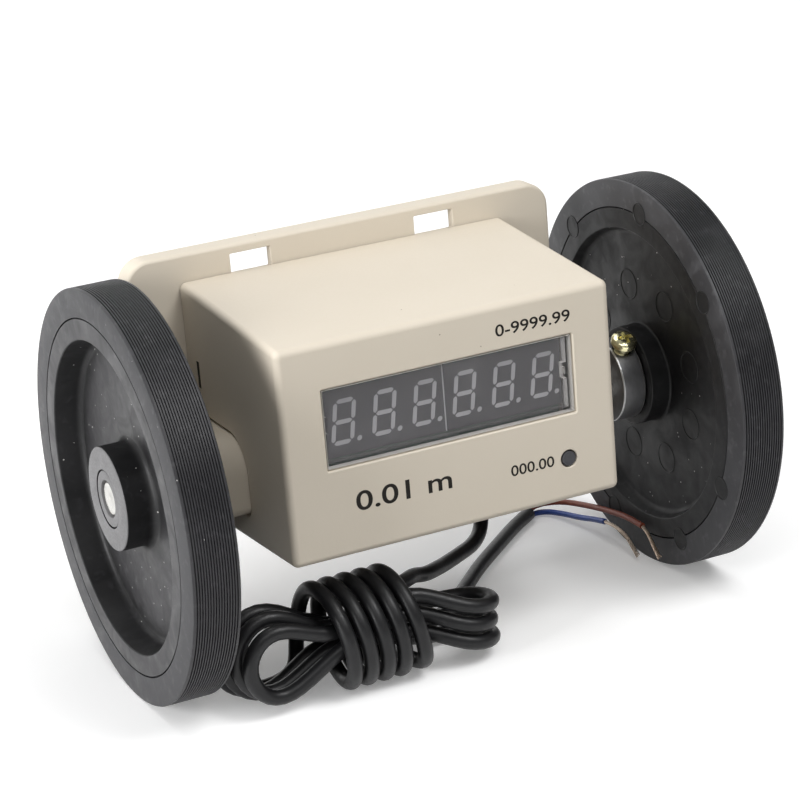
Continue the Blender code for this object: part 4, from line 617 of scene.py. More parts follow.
def smooth_curve(controls, samples):
    """A curve near its controls, with an even bend throughout."""
    points = with_ends(controls)
    spans = len(points) - 3
    count = math.ceil(spans * samples)
    result = []
    for index in range(count + 1):
        place = min(index * spans / count, spans - 1e-9)
        span = int(place)
        a, b, c, d = points[span:span + 4]
        t = place - span
        first = (1 - t) ** 3
        second = 3 * t ** 3 - 6 * t ** 2 + 4
        third = -3 * t ** 3 + 3 * t ** 2 + 3 * t + 1
        result.append((a * first + b * second + c * third + d * t ** 3) / 6)
    return result


def through_points(route, samples):
    """A curve through each point of the route."""
    points = with_ends(route)
    result = []
    for span in range(len(points) - 3):
        a, b, c, d = points[span:span + 4]
        for step in range(samples):
            t = step / samples
            result.append((b * 2 + (c - a) * t + (a * 2 - b * 5 + c * 4 - d) * t ** 2
                           + (b * 3 - a - c * 3 + d) * t ** 3) / 2)
    result.append(points[-2])
    return result


def arc_spread(degrees):
    """How much further out an arc's controls stand, this many degrees apart, for smooth_curve."""
    return 3 / (2 + math.cos(math.radians(degrees)))


def bundle_place(row, layer, turn):
    across = row * LAYER_STEP / 2
    along = (layer - MIDDLE_LOOP) * LAYER_STEP
    y = HANK_AXIS_Y + along * math.cos(turn) + across * math.sin(turn)
    z = HANK_AXIS_Z + across * math.cos(turn) - along * math.sin(turn)
    return y, z


def left_arc(layer):
    radius = LEFT_RADII[layer] * arc_spread(LEFT_ARC_STEP)
    centre_x = LEFT_REACH[layer] + LEFT_RADII[layer]
    y = HANK_AXIS_Y + (layer - MIDDLE_LOOP) * LOOP_LAYER
    centre_z = max(LEFT_CENTRE_Z[layer], LEFT_RADII[layer] + CORD_DIAMETER / 2)
    angles = [math.radians(180 + step * LEFT_ARC_STEP) for step in range(-2, 3)]
    return [(centre_x + radius * math.cos(a), y, centre_z + radius * math.sin(a)) for a in angles]


def right_layer_z(layer):
    return CORD_DIAMETER / 2 + (LOOPS - 1 - layer) * LOOP_LAYER


def right_arc(layer):
    radius = RIGHT_RADIUS * arc_spread(RIGHT_ARC_STEP)
    centre_x = RIGHT_REACH[layer] - RIGHT_RADIUS
    points = []
    for step in range(-2, 3):
        angle = math.radians(step * RIGHT_ARC_STEP)
        share = (step + 2) / 4
        z = right_layer_z(layer) * (1 - share) + right_layer_z(layer + 1) * share
        points.append((centre_x + radius * math.cos(angle), RIGHT_CENTRE_Y + radius * math.sin(angle), z))
    return points


def waist_run(row, layer):
    """One run through the waist, where the bundle takes a quarter turn."""
    points = []
    for step in range(WAIST_STEPS + 1):
        share = step / WAIST_STEPS
        x = WAIST_LEFT_X * (1 - share) + WAIST_RIGHT_X * share
        points.append((x, *bundle_place(row, layer, QUARTER * share)))
    return points


def hank_loops():
    points = []
    for layer in range(LOOPS):
        points += reversed(waist_run(1, layer))
        points += left_arc(layer)
        if layer < LOOPS - 1:
            points += waist_run(-1, layer)
            points += right_arc(layer)
    return points


def wrap_points():
    """The wraps round the waist, from its left end to its right."""
    radius = WRAP_RADIUS * arc_spread(360 / WRAP_POINTS)
    points = []
    for index in range(1, WRAP_TURNS * WRAP_POINTS):
        share = index / WRAP_POINTS
        angle = -QUARTER + math.tau * share
        early = max(0.0, 1 - share / WRAP_EASE_SHARE)
        late = max(0.0, 1 - (WRAP_TURNS - share) / WRAP_EASE_SHARE)
        x = WRAP_LEFT_X + WRAP_PITCH * share - WRAP_LEAN * math.sin(angle)
        x += WRAP_EASE_OUT * late ** 2 - WRAP_EASE_IN * early ** 2
        points.append((x, HANK_AXIS_Y + radius * math.cos(angle), HANK_AXIS_Z + radius * math.sin(angle)))
    return points


def cord_points():
    last = Vector(LEAD_ROUTE[-1])
    ahead = (last - Vector(LEAD_ROUTE[-2])).normalized()
    entry = [last + ahead * SEAT_GAP, last + ahead * (SEAT_GAP + CORD_DIAMETER)]
    hank = smooth_curve(entry + HANK_ENTRY + hank_loops() + wrap_points() + HANK_EXIT, 4)
    start = [GLAND - Vector((0, 0, step * EXIT_STEP)) for step in range(5)]
    return start + through_points(LEAD_ROUTE, 4)[:-1] + hank + through_points(TAIL_ROUTE, 4)[1:]


def strand(name, route, finish):
    """Bare threads twisted round one in their middle, which part a little towards their end."""
    line = through_points(route, 10)
    curve = new_curve(name, THREAD_DIAMETER, 3, finish)
    outer = STRAND_THREADS - 1
    for thread in range(STRAND_THREADS):
        phase = math.tau * thread / outer
        points = []
        for index, place in enumerate(line):
            ahead = line[min(index + 1, len(line) - 1)] - line[max(index - 1, 0)]
            along, across, other = axes_of(ahead)
            share = index / (len(line) - 1)
            angle = phase + STRAND_TURNS * math.tau * share
            reach = 0.0 if thread == outer else STRAND_RADIUS * (1 + STRAND_SPREAD * share ** 3)
            points.append(place + (across * math.cos(angle) + other * math.sin(angle)) * reach)
        add_line(curve, points[:len(points) - thread % 3])
    return linked(name, curve)


def make_cord(finishes):
    points = cord_points()
    cord = tube("cord", points, CORD_DIAMETER, finishes["cord"], 7)
    keep(cord, "housing", "cord_black", "cord_lead", "cord_hank", "cord_tail")
    gland = cord_gland(finishes)
    brown = tube("brown_wire", through_points(BROWN_ROUTE, 6), CORE_DIAMETER, finishes["brown"], 5)
    blue = tube("blue_wire", through_points(BLUE_ROUTE, 6), CORE_DIAMETER, finishes["blue"], 5)
    keep(brown, "housing", "core_brown", "brown_core")
    keep(blue, "housing", "core_blue", "blue_core")
    brown_end = strand("brown_threads", BROWN_STRAND_ROUTE, finishes["copper"])
    blue_end = strand("blue_threads", BLUE_STRAND_ROUTE, finishes["copper"])
    keep(brown_end, "housing", "tinned_copper", "brown_strand")
    keep(blue_end, "housing", "tinned_copper", "blue_strand")


def cord_gland(finishes):
    """The strain relief: two flanges that hold the case's floor, and a ribbed, tapered sleeve."""
    neck, flange, lip, bore = 3.0 * MM, 4.1 * MM, 1.6 * MM, 1.81 * MM
    head, reach, socket = 7.2 * MM, 10.0 * MM, 1.0 * MM
    wide, tip, groove, edge, rings = 3.3 * MM, 2.3 * MM, 0.35 * MM, 0.12 * MM, 5
    under = SEAT_GAP + BOTTOM_DRAFT / CASE_DEPTH * flange
    inside = CASE_WALL + under
    sleeve = under + lip
    pitch = (reach - sleeve) / rings
    profile = [(-head, 0), (-head, neck), (-inside - lip, neck), (-inside - lip, flange),
               (-inside, flange), (-inside, neck), (under, neck), (under, flange), (sleeve, flange)]
    for ring in range(rings):
        share = ring / rings
        radius = wide * (1 - share) + tip * share
        start = sleeve + (reach - sleeve) * share
        profile += [(start, radius - groove), (start + pitch * 0.3, radius - groove),
                    (start + pitch * 0.3, radius), (start + pitch, radius)]
    profile += [(reach, bore), (reach - socket, bore), (reach - socket, 0)]
    gland = turned("strain_relief", rounded(profile, edge, 2), 48, GLAND, (0, 0, -1), finishes["cord"])
    return keep(gland, "housing", "cord_black", "cord_gland")


# Wheels

def tyre_profile():
    """The tyre's section: fine ridges round its tread, and a tongue that closes its seat on the rim."""
    inside = RIM_RADIUS + SEAT_GAP
    band, depth, edge, grooves = 0.6 * MM, 0.36 * MM, 0.4 * MM, 16
    bottom = WHEEL_RADIUS - depth
    points = [(WHEEL_INSIDE, inside), (WHEEL_INSIDE, WHEEL_RADIUS - edge)]
    points += [(WHEEL_INSIDE + edge * 0.3, WHEEL_RADIUS - edge * 0.3), (WHEEL_INSIDE + edge, WHEEL_RADIUS)]
    pitch = (WHEEL_FACE - WHEEL_INSIDE - 2 * band) / grooves
    for index in range(grooves):
        low = WHEEL_INSIDE + band + pitch * index
        points += [(low + pitch * 0.2, WHEEL_RADIUS), (low + pitch * 0.33, bottom),
                   (low + pitch * 0.67, bottom), (low + pitch * 0.8, WHEEL_RADIUS)]
    points += [(WHEEL_FACE - edge, WHEEL_RADIUS), (WHEEL_FACE - edge * 0.3, WHEEL_RADIUS - edge * 0.3)]
    points += [(WHEEL_FACE, WHEEL_RADIUS - edge), (WHEEL_FACE, inside)]
    groove, press = 1.0 * MM, 0.02 * MM
    seat = RIM_RADIUS - press
    points += [(WHEEL_FACE - groove, inside), (WHEEL_FACE - groove - SEAT_GAP, seat)]
    points += [(WHEEL_INSIDE + groove + SEAT_GAP, seat), (WHEEL_INSIDE + groove, inside)]
    return points


def hub_profile():
    """The hub's section, with the radius in millimetres at each corner."""
    bore = INSERT_RADIUS + SEAT_GAP
    corners = [
        (BOSS_IN, bore, 0.1), (BOSS_IN, BOSS_RADIUS, 0.5), (WEB_IN, BOSS_RADIUS, 0.7),
        (WEB_IN, DISH_FLOOR, 1.6), (WHEEL_INSIDE, DISH_RADIUS, 0.35), (WHEEL_INSIDE, RIM_RADIUS, 0.2),
        (WHEEL_FACE, RIM_RADIUS, 0.2), (WHEEL_FACE, DISH_RADIUS, 0.45), (WEB_OUT, DISH_FLOOR, 1.8),
        (WEB_OUT, BOSS_RADIUS, 2.2), (BOSS_OUT, BOSS_RADIUS, 0.5), (BOSS_OUT, bore, 0.1),
    ]
    return rounded([(x, r) for x, r, _ in corners], [fillet * MM for _, _, fillet in corners], 6)


def insert_profile():
    sunk, edge = 0.15 * MM, 0.2 * MM
    low, high = BOSS_IN, BOSS_OUT - sunk
    inside = SHAFT_RADIUS + SEAT_GAP
    return rounded([(low, inside), (low, INSERT_RADIUS), (high, INSERT_RADIUS), (high, inside)], edge, 3)


def ejector_marks(side):
    """Round marks that the moulding pins left on the wheel's inner side, each with a low rim."""
    steps = 32
    rim = (41.4 * MM, WHEEL_INSIDE, 2.9 * MM, (48.7, 97.8, 141.7, 206.6, 245.5, 290, 333, 10))
    web = (21.6 * MM, WEB_IN, 3.9 * MM, (74.4, 119, 163, 202, 248, 290, 335, 25))
    bm = bmesh.new()
    for radius, plane, wide, places in (rim, web):
        levels = [(wide, -0.02 * MM), (wide - 0.1 * MM, 0.12 * MM), (wide - 0.28 * MM, 0.12 * MM),
                  (wide - 0.42 * MM, 0.0), (0.2 * MM, 0.02 * MM)]
        for degrees in places:
            angle = math.radians(degrees)
            middle = (radius * math.cos(angle), AXLE_Z + radius * math.sin(angle))
            loops = []
            for reach, height in levels:
                circle = arc(middle, reach, 0, math.tau, steps)[:-1]
                loops.append([(side * (plane - height), y, z) for y, z in circle])
            add_loft(bm, loops)
    return bm


def hub_finish(polygon, side):
    """Worn on the boss's face; painted shade, a darker black, on the inner side and on the walls and
    corners; dusty on the dish's floor, with painted shade towards its corners, and on the rim.
    """
    face_depth, floor_depth, level = 0.2 * MM, 2.0 * MM, 0.92
    reach = polygon.center.x * side
    if reach > BOSS_OUT - face_depth:
        return 1
    if reach < (WEB_IN + WEB_OUT) / 2 or abs(polygon.normal.x) < level:
        return 2
    return 3 if reach < WEB_OUT + floor_depth else 0


def wheel(name, side, finishes):
    tyre = on_axle(name + "_tread", tyre_profile(), 180, finishes["tyre"], side)
    keep(tyre, "wheels", "tyre_rubber", name + "_tyre")
    hub = on_axle(name + "_hub", hub_profile(), 160, finishes["black"], side)
    # The inner black is painted shade on the inner side, walls and corners; the web black has painted shade
    # in the dish's corners.
    extra = [finishes[key] for key in ("worn", "inner", "web")]
    paint(hub, extra, lambda polygon: hub_finish(polygon, side))
    keep(hub, "wheels", "black_plastic", name + "_wheel_hub")
    insert = on_axle(name + "_insert", insert_profile(), 72, finishes["worn"], side)
    keep(insert, "wheels", "black_plastic", name + "_hub_insert")
    # The pin marks take the inner black, the darker black of the painted shade on the wheel's inner side.
    marks = object_from(name + "_pin_marks", ejector_marks(side), finishes["inner"])
    keep(marks, "wheels", "black_plastic")


def shaft(finishes):
    sunk, flat, chamfer, dimple, lip = 0.6 * MM, 1.1 * MM, 0.4 * MM, 0.55 * MM, 0.1 * MM
    reach = BOSS_OUT - sunk
    half = [(reach - dimple, 0), (reach - lip, flat * 0.75), (reach, flat), (reach, SHAFT_RADIUS - chamfer),
            (reach - chamfer, SHAFT_RADIUS)]
    profile = [(-x, r) for x, r in half] + [(x, r) for x, r in reversed(half)]
    keep(on_axle("shaft", profile, 96, finishes["steel"]), "wheels", "bright_steel", "axle_shaft")


def cross_outline(half_width, half_length):
    quarter = [(half_length, -half_width), (half_length, half_width), (half_width, half_width)]
    points = []
    for turn in range(4):
        cosine, sine = round(math.cos(turn * QUARTER)), round(math.sin(turn * QUARTER))
        points += [(u * cosine - v * sine, u * sine + v * cosine) for u, v in quarter]
    return points


def cross_screw(name, origin, direction, head_radius, head_height, shank_radius, shank_length, finish):
    """A pan screw with an upright rim, a domed top, a tapered cross recess and a threaded shank."""
    profile = [(-shank_length, 0), (-shank_length, shank_radius * 0.6)]
    pitch = shank_radius * 0.35
    for index in range(int((shank_length - 2 * pitch) / pitch)):
        start = -shank_length + pitch * (index + 0.7)
        profile += [(start, shank_radius * 0.82), (start + pitch / 2, shank_radius)]
    rim = head_height * 0.5
    profile += [(0, shank_radius), (0, head_radius * 0.9), (head_height * 0.08, head_radius * 0.97),
                (head_height * 0.16, head_radius), (rim, head_radius)]
    dome_steps = 8
    for step in range(1, dome_steps):
        angle = QUARTER * step / dome_steps
        profile.append((rim + (head_height - rim) * math.sin(angle), head_radius * math.cos(angle) ** 0.6))
    profile.append((head_height, 0))
    body = turned(name, profile, 64, origin, direction, finish, 24)
    along, across, other = axes_of(direction)
    half_width, half_length, depth = head_radius * 0.17, head_radius * 0.66, head_height * 0.6
    loops = []
    for level, share in ((-depth, 0.5), (0.0, 1.0), (1.0 * MM, 1.36)):
        centre = Vector(origin) + along * (head_height + level)
        outline = cross_outline(half_width * (0.7 + 0.3 * share), half_length * share)
        loops.append([centre + across * u + other * v for u, v in outline])
    cut(body, lofted(name + "_recess", loops))
    soften(body, 24)
    return body


def collar_finish(polygon):
    """Painted highlight: a brighter metal on the collar's two outer rounds."""
    inner_edge, least_slope, most_slope = 9.5 * MM, 0.15, 0.95
    reach = Vector((0, polygon.center.y, polygon.center.z - AXLE_Z)).length
    return int(reach > inner_edge and least_slope < abs(polygon.normal.x) < most_slope)


def clamp_collar(finishes):
    length, radius, bore, lean = 6.1 * MM, 10.0 * MM, 4.3 * MM, math.radians(28)
    lift, head_radius, head_height, shank_radius = 1.5 * MM, 3.1 * MM, 2.3 * MM, 2.0 * MM
    face_edge, round_edge = 0.2 * MM, 0.45 * MM
    high = BOSS_IN - SEAT_GAP
    low = high - length
    corners = [(low, bore), (low, radius), (high, radius), (high, bore)]
    outline = rounded(corners, [face_edge, round_edge, round_edge, face_edge], 3)
    collar = on_axle("collar", outline, 128, finishes["collar"])
    outward = Vector((0, -math.sin(lean), math.cos(lean)))
    centre = Vector(((low + high) / 2, 0, AXLE_Z))
    hole = mm((0, 0), (0, 2.3), (9.7, 2.3), (12.0, 4.0), (12.0, 0))
    cut(collar, turned("collar_hole", hole, 48, centre, outward))
    paint(collar, [finishes["edge"]], collar_finish)
    soften(collar, 30)
    keep(collar, "wheels", "dull_steel", "clamp_collar")
    base = radius + lift
    head = cross_screw("clamp_screw", centre + outward * base, outward, head_radius, head_height,
                       shank_radius, base - bore, finishes["zinc"])
    keep(head, "wheels", "yellow_zinc", "collar_screw")


# Case

def pillar_outline(grow, back, steps=16):
    """The end pillar's outline in Y and Z, grown for the slot that it stands in."""
    above, below, ahead, upper_round, lower_round = 9.2 * MM, 8.3 * MM, 9.5 * MM, 8.0 * MM, 2.2 * MM
    top = AXLE_Z + above + grow
    bottom = AXLE_Z - below - grow
    front = -ahead - grow
    upper, lower = upper_round + grow, lower_round + grow
    points = [(back, bottom), (back, top)]
    points += arc((front + upper, top - upper), upper, QUARTER, 2 * QUARTER, steps)
    points += arc((front + lower, bottom + lower), lower, 2 * QUARTER, 3 * QUARTER, steps // 2)
    return points


def case_side(side):
    return CASE_CENTRE_X + side * CASE_WIDTH / 2


def prism_x(name, outline, low, high, edge=0.0):
    """An outline in Y and Z carried along X, with a small round on its two ends."""
    middle = sum((Vector(point) for point in outline), Vector((0, 0))) / len(outline)
    levels = [(low, 0.0), (high, 0.0)]
    if edge:
        levels = [(low, edge), (low + edge * 0.3, edge * 0.3), (low + edge, 0.0),
                  (high - edge, 0.0), (high - edge * 0.3, edge * 0.3), (high, edge)]
    loops = []
    for x, inset in levels:
        shifted = [Vector(point) + (middle - Vector(point)).normalized() * inset for point in outline]
        loops.append([(x, point.x, point.y) for point in shifted])
    return lofted(name, loops)


def section(y, inset, radius):
    """The cover's outline at one depth, with rounded corners."""
    share = (y - CASE_FRONT_Y) / CASE_DEPTH
    half = CASE_WIDTH / 2 + SIDE_DRAFT * share - inset
    low = CASE_FLOOR_Z - BOTTOM_DRAFT * share + inset
    high = CASE_TOP_Z + TOP_DRAFT * share - inset
    outline = rounded_outline((CASE_CENTRE_X - half, low), (CASE_CENTRE_X + half, high), radius, 6)
    return [(x, y, z) for x, z in outline]


def cover_round():
    """The rounded edge round the cover's front face, from the face out to its sides."""
    least, steps = 0.1 * MM, 6
    loops = [section(CASE_FRONT_Y, CASE_EDGE, least)]
    for step in range(1, steps + 1):
        angle = QUARTER * step / steps
        inset = CASE_EDGE * (1 - math.sin(angle))
        y = CASE_FRONT_Y + CASE_EDGE * (1 - math.cos(angle))
        loops.append(section(y, inset, max(CASE_EDGE - inset, least)))
    return loops


def cut_window(cover):
    """The display's window, with a small bevel at the front."""
    half, bevel, corner, skin = WINDOW_WIDTH / 2, 0.3 * MM, 0.35 * MM, 0.001 * MM
    loops = []
    for y, grow in ((CASE_FRONT_Y - OVERRUN, bevel), (CASE_FRONT_Y - skin, bevel),
                    (CASE_FRONT_Y + bevel, 0.0), (CASE_FRONT_Y + CASE_WALL + OVERRUN, 0.0)):
        low = (CASE_CENTRE_X - half - grow, WINDOW_Z - grow)
        high = (CASE_CENTRE_X + half + grow, WINDOW_Z + WINDOW_HEIGHT + grow)
        loops.append([(x, y, z) for x, z in rounded_outline(low, high, corner + grow, 4)])
    cut(cover, lofted("window", loops))


def front_cover(finishes):
    clearance, slit_width, slit_height = 0.75 * MM, 1.4 * MM, 6.4 * MM
    corner, outlet_radius, outlet_reach = 0.4 * MM, 3.3 * MM, 4.5 * MM
    slit_y, slit_z = CASE_BACK_Y - 5.4 * MM, CASE_BACK_TOP_Z - 17.2 * MM
    cover = lofted("cover", cover_round() + [section(CASE_BACK_Y, 0, CASE_EDGE)], finishes["ivory"])
    hollow = [section(y, CASE_WALL, corner) for y in (CASE_FRONT_Y + CASE_WALL, CASE_BACK_Y + OVERRUN)]
    cut(cover, lofted("hollow", hollow))
    cut_window(cover)
    hole = mm((-2.0, 0), (-2.0, 2.35), (0, 2.3), (0.25, 2.05), (4.0, 2.05), (4.0, 0))
    cut(cover, turned("button_hole", hole, 64, (RESET_X, CASE_FRONT_Y, RESET_Z), (0, 1, 0)))
    reach = CASE_WALL + SIDE_DRAFT + OVERRUN
    for side in (-1, 1):
        wall = case_side(side)
        slot = pillar_outline(clearance, CASE_BACK_Y + OVERRUN)
        cut(cover, prism_x("side_slot", slot, wall - reach, wall + reach))
        cut(cover, box("latch_slit", (wall - reach, slit_y - slit_width, slit_z - slit_height),
                       (wall + reach, slit_y, slit_z)))
    cut(cover, rod("outlet", -outlet_reach, outlet_reach, outlet_radius, GLAND, (0, 0, 1), 48))

    def finish_of(polygon):
        """Shade on the latch slits' walls."""
        centre, rest, flat = polygon.center, 0.01 * MM, 0.5
        within = slit_y - slit_width - rest < centre.y < slit_y + rest
        within = within and slit_z - slit_height - rest < centre.z < slit_z + rest
        return int(within and abs(polygon.normal.x) < flat)

    paint(cover, [finishes["shade"]], finish_of)
    soften(cover, 30)
    even_normals(cover)
    keep(cover, "housing", "ivory_plastic", "front_cover")


# Back plate

def plate_loop(y, inset):
    half, least, steps = PLATE_WIDTH / 2 - inset, 0.5 * MM, 14
    low = (CASE_CENTRE_X - half, PLATE_BOTTOM_Z + inset)
    high = (CASE_CENTRE_X + half, PLATE_TOP_Z - inset)
    return [(x, y, z) for x, z in rounded_outline(low, high, max(PLATE_CORNER - inset, least), steps)]


def plate_tray(finish):
    """The plate with its rounded front edge, its rim and the pocket behind."""
    edge, chamfer, steps = 0.9 * MM, 0.2 * MM, 5
    angles = [QUARTER * step / steps for step in range(steps + 1)]
    loops = [plate_loop(PLATE_Y + edge * (1 - math.cos(a)), edge * (1 - math.sin(a))) for a in angles]
    loops += [plate_loop(PLATE_RIM_Y - chamfer, 0), plate_loop(PLATE_RIM_Y, chamfer)]
    plate = lofted("plate", loops, finish)
    pocket = [plate_loop(y, PLATE_RIM_WALL) for y in (PLATE_BACK_Y, PLATE_RIM_Y + OVERRUN)]
    cut(plate, lofted("pocket", pocket))
    return plate


def cut_fixing_holes(plate):
    width, height, spacing, margin = 10.2 * MM, 5.0 * MM, 47.3 * MM, 2.2 * MM
    bevel, corner = 0.15 * MM, 0.3 * MM
    levels = ((PLATE_Y - OVERRUN, bevel), (PLATE_Y, bevel), (PLATE_Y + bevel, 0.0),
              (PLATE_BACK_Y + OVERRUN, 0.0))
    for x in (CASE_CENTRE_X - (spacing + width) / 2, CASE_CENTRE_X + (spacing - width) / 2):
        for z in (PLATE_TOP_Z - margin - height, PLATE_BOTTOM_Z + margin):
            middle = Vector((x + width / 2, z + height / 2))
            hole = rounded_outline((x, z), (x + width, z + height), corner, 3)
            loops = []
            for y, grow in levels:
                loop = []
                for u, v in hole:
                    away = Vector((u, v)) - middle
                    loop.append((u + math.copysign(grow, away.x), y, v + math.copysign(grow, away.y)))
                loops.append(loop)
            cut(plate, lofted("plate_hole", loops))


def add_pillars(plate):
    """The end pillars that carry the axle, with the bearings' bores."""
    edge, bore = 0.35 * MM, 5.8 * MM
    for side in (-1, 1):
        outer = case_side(side) + side * PILLAR_PROUD
        inner = outer - side * PILLAR_LENGTH
        outline = pillar_outline(0, PLATE_Y + PLATE_THICKNESS / 2)
        join(plate, prism_x("pillar", outline, min(inner, outer), max(inner, outer), edge))
        start = (inner - side * OVERRUN, 0, AXLE_Z)
        cut(plate, rod("bore", 0, PILLAR_LENGTH + 2 * OVERRUN, bore, start, (side, 0, 0), 64))


def add_board_posts(plate):
    margin, post_radius, pilot_radius = 4.0 * MM, 2.4 * MM, 1.3 * MM
    root, height, pilot_start, pilot_end = 1.2 * MM, 4.2 * MM, 0.3 * MM, 6.0 * MM
    low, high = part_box("main_board")
    for x in (low.x + margin, high.x - margin):
        for z in (low.z + margin, high.z - margin):
            place = (x, PLATE_Y, z)
            join(plate, rod("post", -root, height, post_radius, place, (0, -1, 0), 24))
            cut(plate, rod("pilot", pilot_start, pilot_end, pilot_radius, place, (0, -1, 0), 24))


def screw_place(name, y):
    low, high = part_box("case_screw_" + name)
    return ((low.x + high.x) / 2, y, (low.z + high.z) / 2)


def dress_back(plate):
    """The screw holes with their collars, the moulding pins' marks and two ribs."""
    collar = mm((1.5, 2.0), (1.5, 4.4), (2.9, 4.2), (2.9, 3.3), (2.4, 3.2), (2.4, 2.0))
    mark = mm((1.5, 0), (1.5, 3.0), (2.5, 3.0), (2.5, 2.75), (2.4, 2.7), (2.42, 0))
    hole_radius, hole_reach = 1.6 * MM, 4.0 * MM
    mark_columns, mark_rows = (-35.2 * MM, 0.0, 35.2 * MM), (44.0 * MM, 74.0 * MM)
    rib_columns, wall, height = (-24.0 * MM, 18.4 * MM), 1.2 * MM, 1.6 * MM
    margin, root, edge = 12.0 * MM, 0.5 * MM, 0.3 * MM
    for name in SCREW_CORNERS:
        place = screw_place(name, PLATE_Y)
        join(plate, turned("screw_collar", collar, 48, place, (0, 1, 0)))
        cut(plate, rod("screw_hole", -hole_reach, hole_reach, hole_radius, place, (0, 1, 0), 32))
    for x in mark_columns:
        for z in mark_rows:
            join(plate, turned("pin_mark", mark, 40, (CASE_CENTRE_X + x, PLATE_Y, z), (0, 1, 0)))
    for x in rib_columns:
        low = (x, PLATE_BACK_Y - root, PLATE_BOTTOM_Z + margin)
        high = (x + wall, PLATE_BACK_Y + height, PLATE_TOP_Z - margin)
        join(plate, box("rib", low, high, None, edge))


def base_plate(finishes):
    plate = plate_tray(finishes["ivory"])
    cut_fixing_holes(plate)
    add_pillars(plate)
    add_board_posts(plate)
    dress_back(plate)
    soften(plate, 30)
    even_normals(plate)
    keep(plate, "housing", "ivory_plastic", "base_plate")


def case_screws(finishes):
    head_radius, head_height, shank_radius, length = 2.6 * MM, 1.8 * MM, 1.3 * MM, 11.4 * MM
    for name in SCREW_CORNERS:
        place = screw_place(name, PLATE_BACK_Y + SEAT_GAP)
        piece = cross_screw("plate_screw_" + name, place, (0, 1, 0), head_radius, head_height,
                            shank_radius, length, finishes["zinc"])
        keep(piece, "housing", "yellow_zinc", "case_screw_" + name)


def bushes(finishes):
    bore, barrel, flange, lip, edge = 4.1 * MM, 5.5 * MM, 6.8 * MM, 1.0 * MM, 0.2 * MM
    for name, side in (("left", -1), ("right", 1)):
        node = name + "_bearing_bush"
        low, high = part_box(node)
        outer = max(abs(low.x), abs(high.x))
        inner = min(abs(low.x), abs(high.x))
        corners = [(inner, bore), (inner, barrel), (outer - lip, barrel), (outer - lip, flange),
                   (outer, flange), (outer, bore)]
        piece = on_axle(name + "_bush", rounded(corners, edge, 3), 96, finishes["bronze"], side)
        keep(piece, "housing", "bearing_bronze", node)


def reset_button(finishes):
    """A button with a shallow dish in its face, a flange behind the cover and a stem to the switch."""
    low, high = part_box("reset_button")
    depth, stem = high.y - low.y, 1.3 * MM
    profile = mm((0.12, 0), (0.1, 0.8), (0.02, 1.2), (0, 1.4), (0.06, 1.62), (0.22, 1.75), (2.6, 1.75),
                 (2.6, 2.6), (3.5, 2.6), (3.5, 1.3))
    profile += [(depth, stem), (depth, 0)]
    piece = turned("button", profile, 64, (RESET_X, low.y, RESET_Z), (0, 1, 0), finishes["button"], 40)
    keep(piece, "reset", "button_grey", "reset_button")


# Display

def lens(finishes):
    """The clear cup in the window: a face, walls with painted light, a flange behind and a clip at each
    end.
    """
    wall, face, flange, edge = 0.9 * MM, 1.2 * MM, 1.0 * MM, 0.22 * MM
    clip_sink, clip_height, clip_depth, clip_lift = 0.2 * MM, 3.8 * MM, 1.7 * MM, 8.1 * MM
    left_clip, right_clip, clip_edge = 0.4 * MM, 1.1 * MM, 0.16 * MM
    gap_left, gap_right, gap_bottom, gap_top = 0.35 * MM, 0.75 * MM, 1.1 * MM, 2.7 * MM
    low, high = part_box("display_lens")
    half = WINDOW_WIDTH / 2 - SEAT_GAP
    left, right = CASE_CENTRE_X - half, CASE_CENTRE_X + half
    bottom, top = WINDOW_Z + SEAT_GAP, WINDOW_Z + WINDOW_HEIGHT - SEAT_GAP
    back = high.y - flange / 2
    piece = box("lens", (left, low.y, bottom), (right, back, top), finishes["clear"], edge)
    join(piece, box("flange", (low.x, high.y - flange, low.z), (high.x, high.y, high.z)))
    cut(piece, box("lens_hollow", (left + wall, low.y + face, bottom + wall),
                   (right - wall, high.y + OVERRUN, top - wall)))
    clip_y, clip_z = low.y + face - clip_sink, WINDOW_Z + clip_lift
    for name, near, far in (("left_clip", left + wall - clip_sink, left + wall + left_clip),
                            ("right_clip", right - wall - right_clip, right - wall + clip_sink)):
        clip_high = (far, clip_y + clip_depth, clip_z + clip_height)
        clip = box(name, (near, clip_y, clip_z), clip_high, None, clip_edge)
        cut(clip, box("clip_gap", (near + gap_left, clip_y - OVERRUN, clip_z + gap_bottom),
                      (near + gap_right, clip_y + OVERRUN, clip_z + gap_top)))
        join(piece, clip)
    middle = Vector((CASE_CENTRE_X, low.y, WINDOW_Z + WINDOW_HEIGHT / 2))

    def finish_of(polygon):
        """Painted light, a pale diffuse white, on the walls that face out and on the right clip."""
        centre, normal, rest, steep = polygon.center, polygon.normal, 0.1 * MM, 0.9
        outward = (centre - middle).dot(normal) > 0 and abs(normal.y) < steep
        on_clip = low.y + face + rest < centre.y < clip_y + clip_depth - rest
        on_clip = on_clip and clip_z < centre.z < clip_z + clip_height
        return int(outward or on_clip and centre.x > middle.x)

    paint(piece, [finishes["lens_light"]], finish_of)
    soften(piece, 30)
    even_normals(piece)
    keep(piece, "housing", "clear_plastic", "display_lens")


def module_seam(finishes):
    """A pale strip along the left module's right edge, which shows between the two modules."""
    inside, outside, proud, depth, margin = 0.14 * MM, 0.16 * MM, 0.03 * MM, 1.5 * MM, 0.1 * MM
    edge = 0.02 * MM
    low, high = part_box("led_module_left")
    strip = box("module_seam", (high.x - inside, low.y - proud, low.z + margin),
                (high.x + outside, low.y + depth, high.z - margin), finishes["segment"], edge)
    keep(strip, "housing", "display_grey")


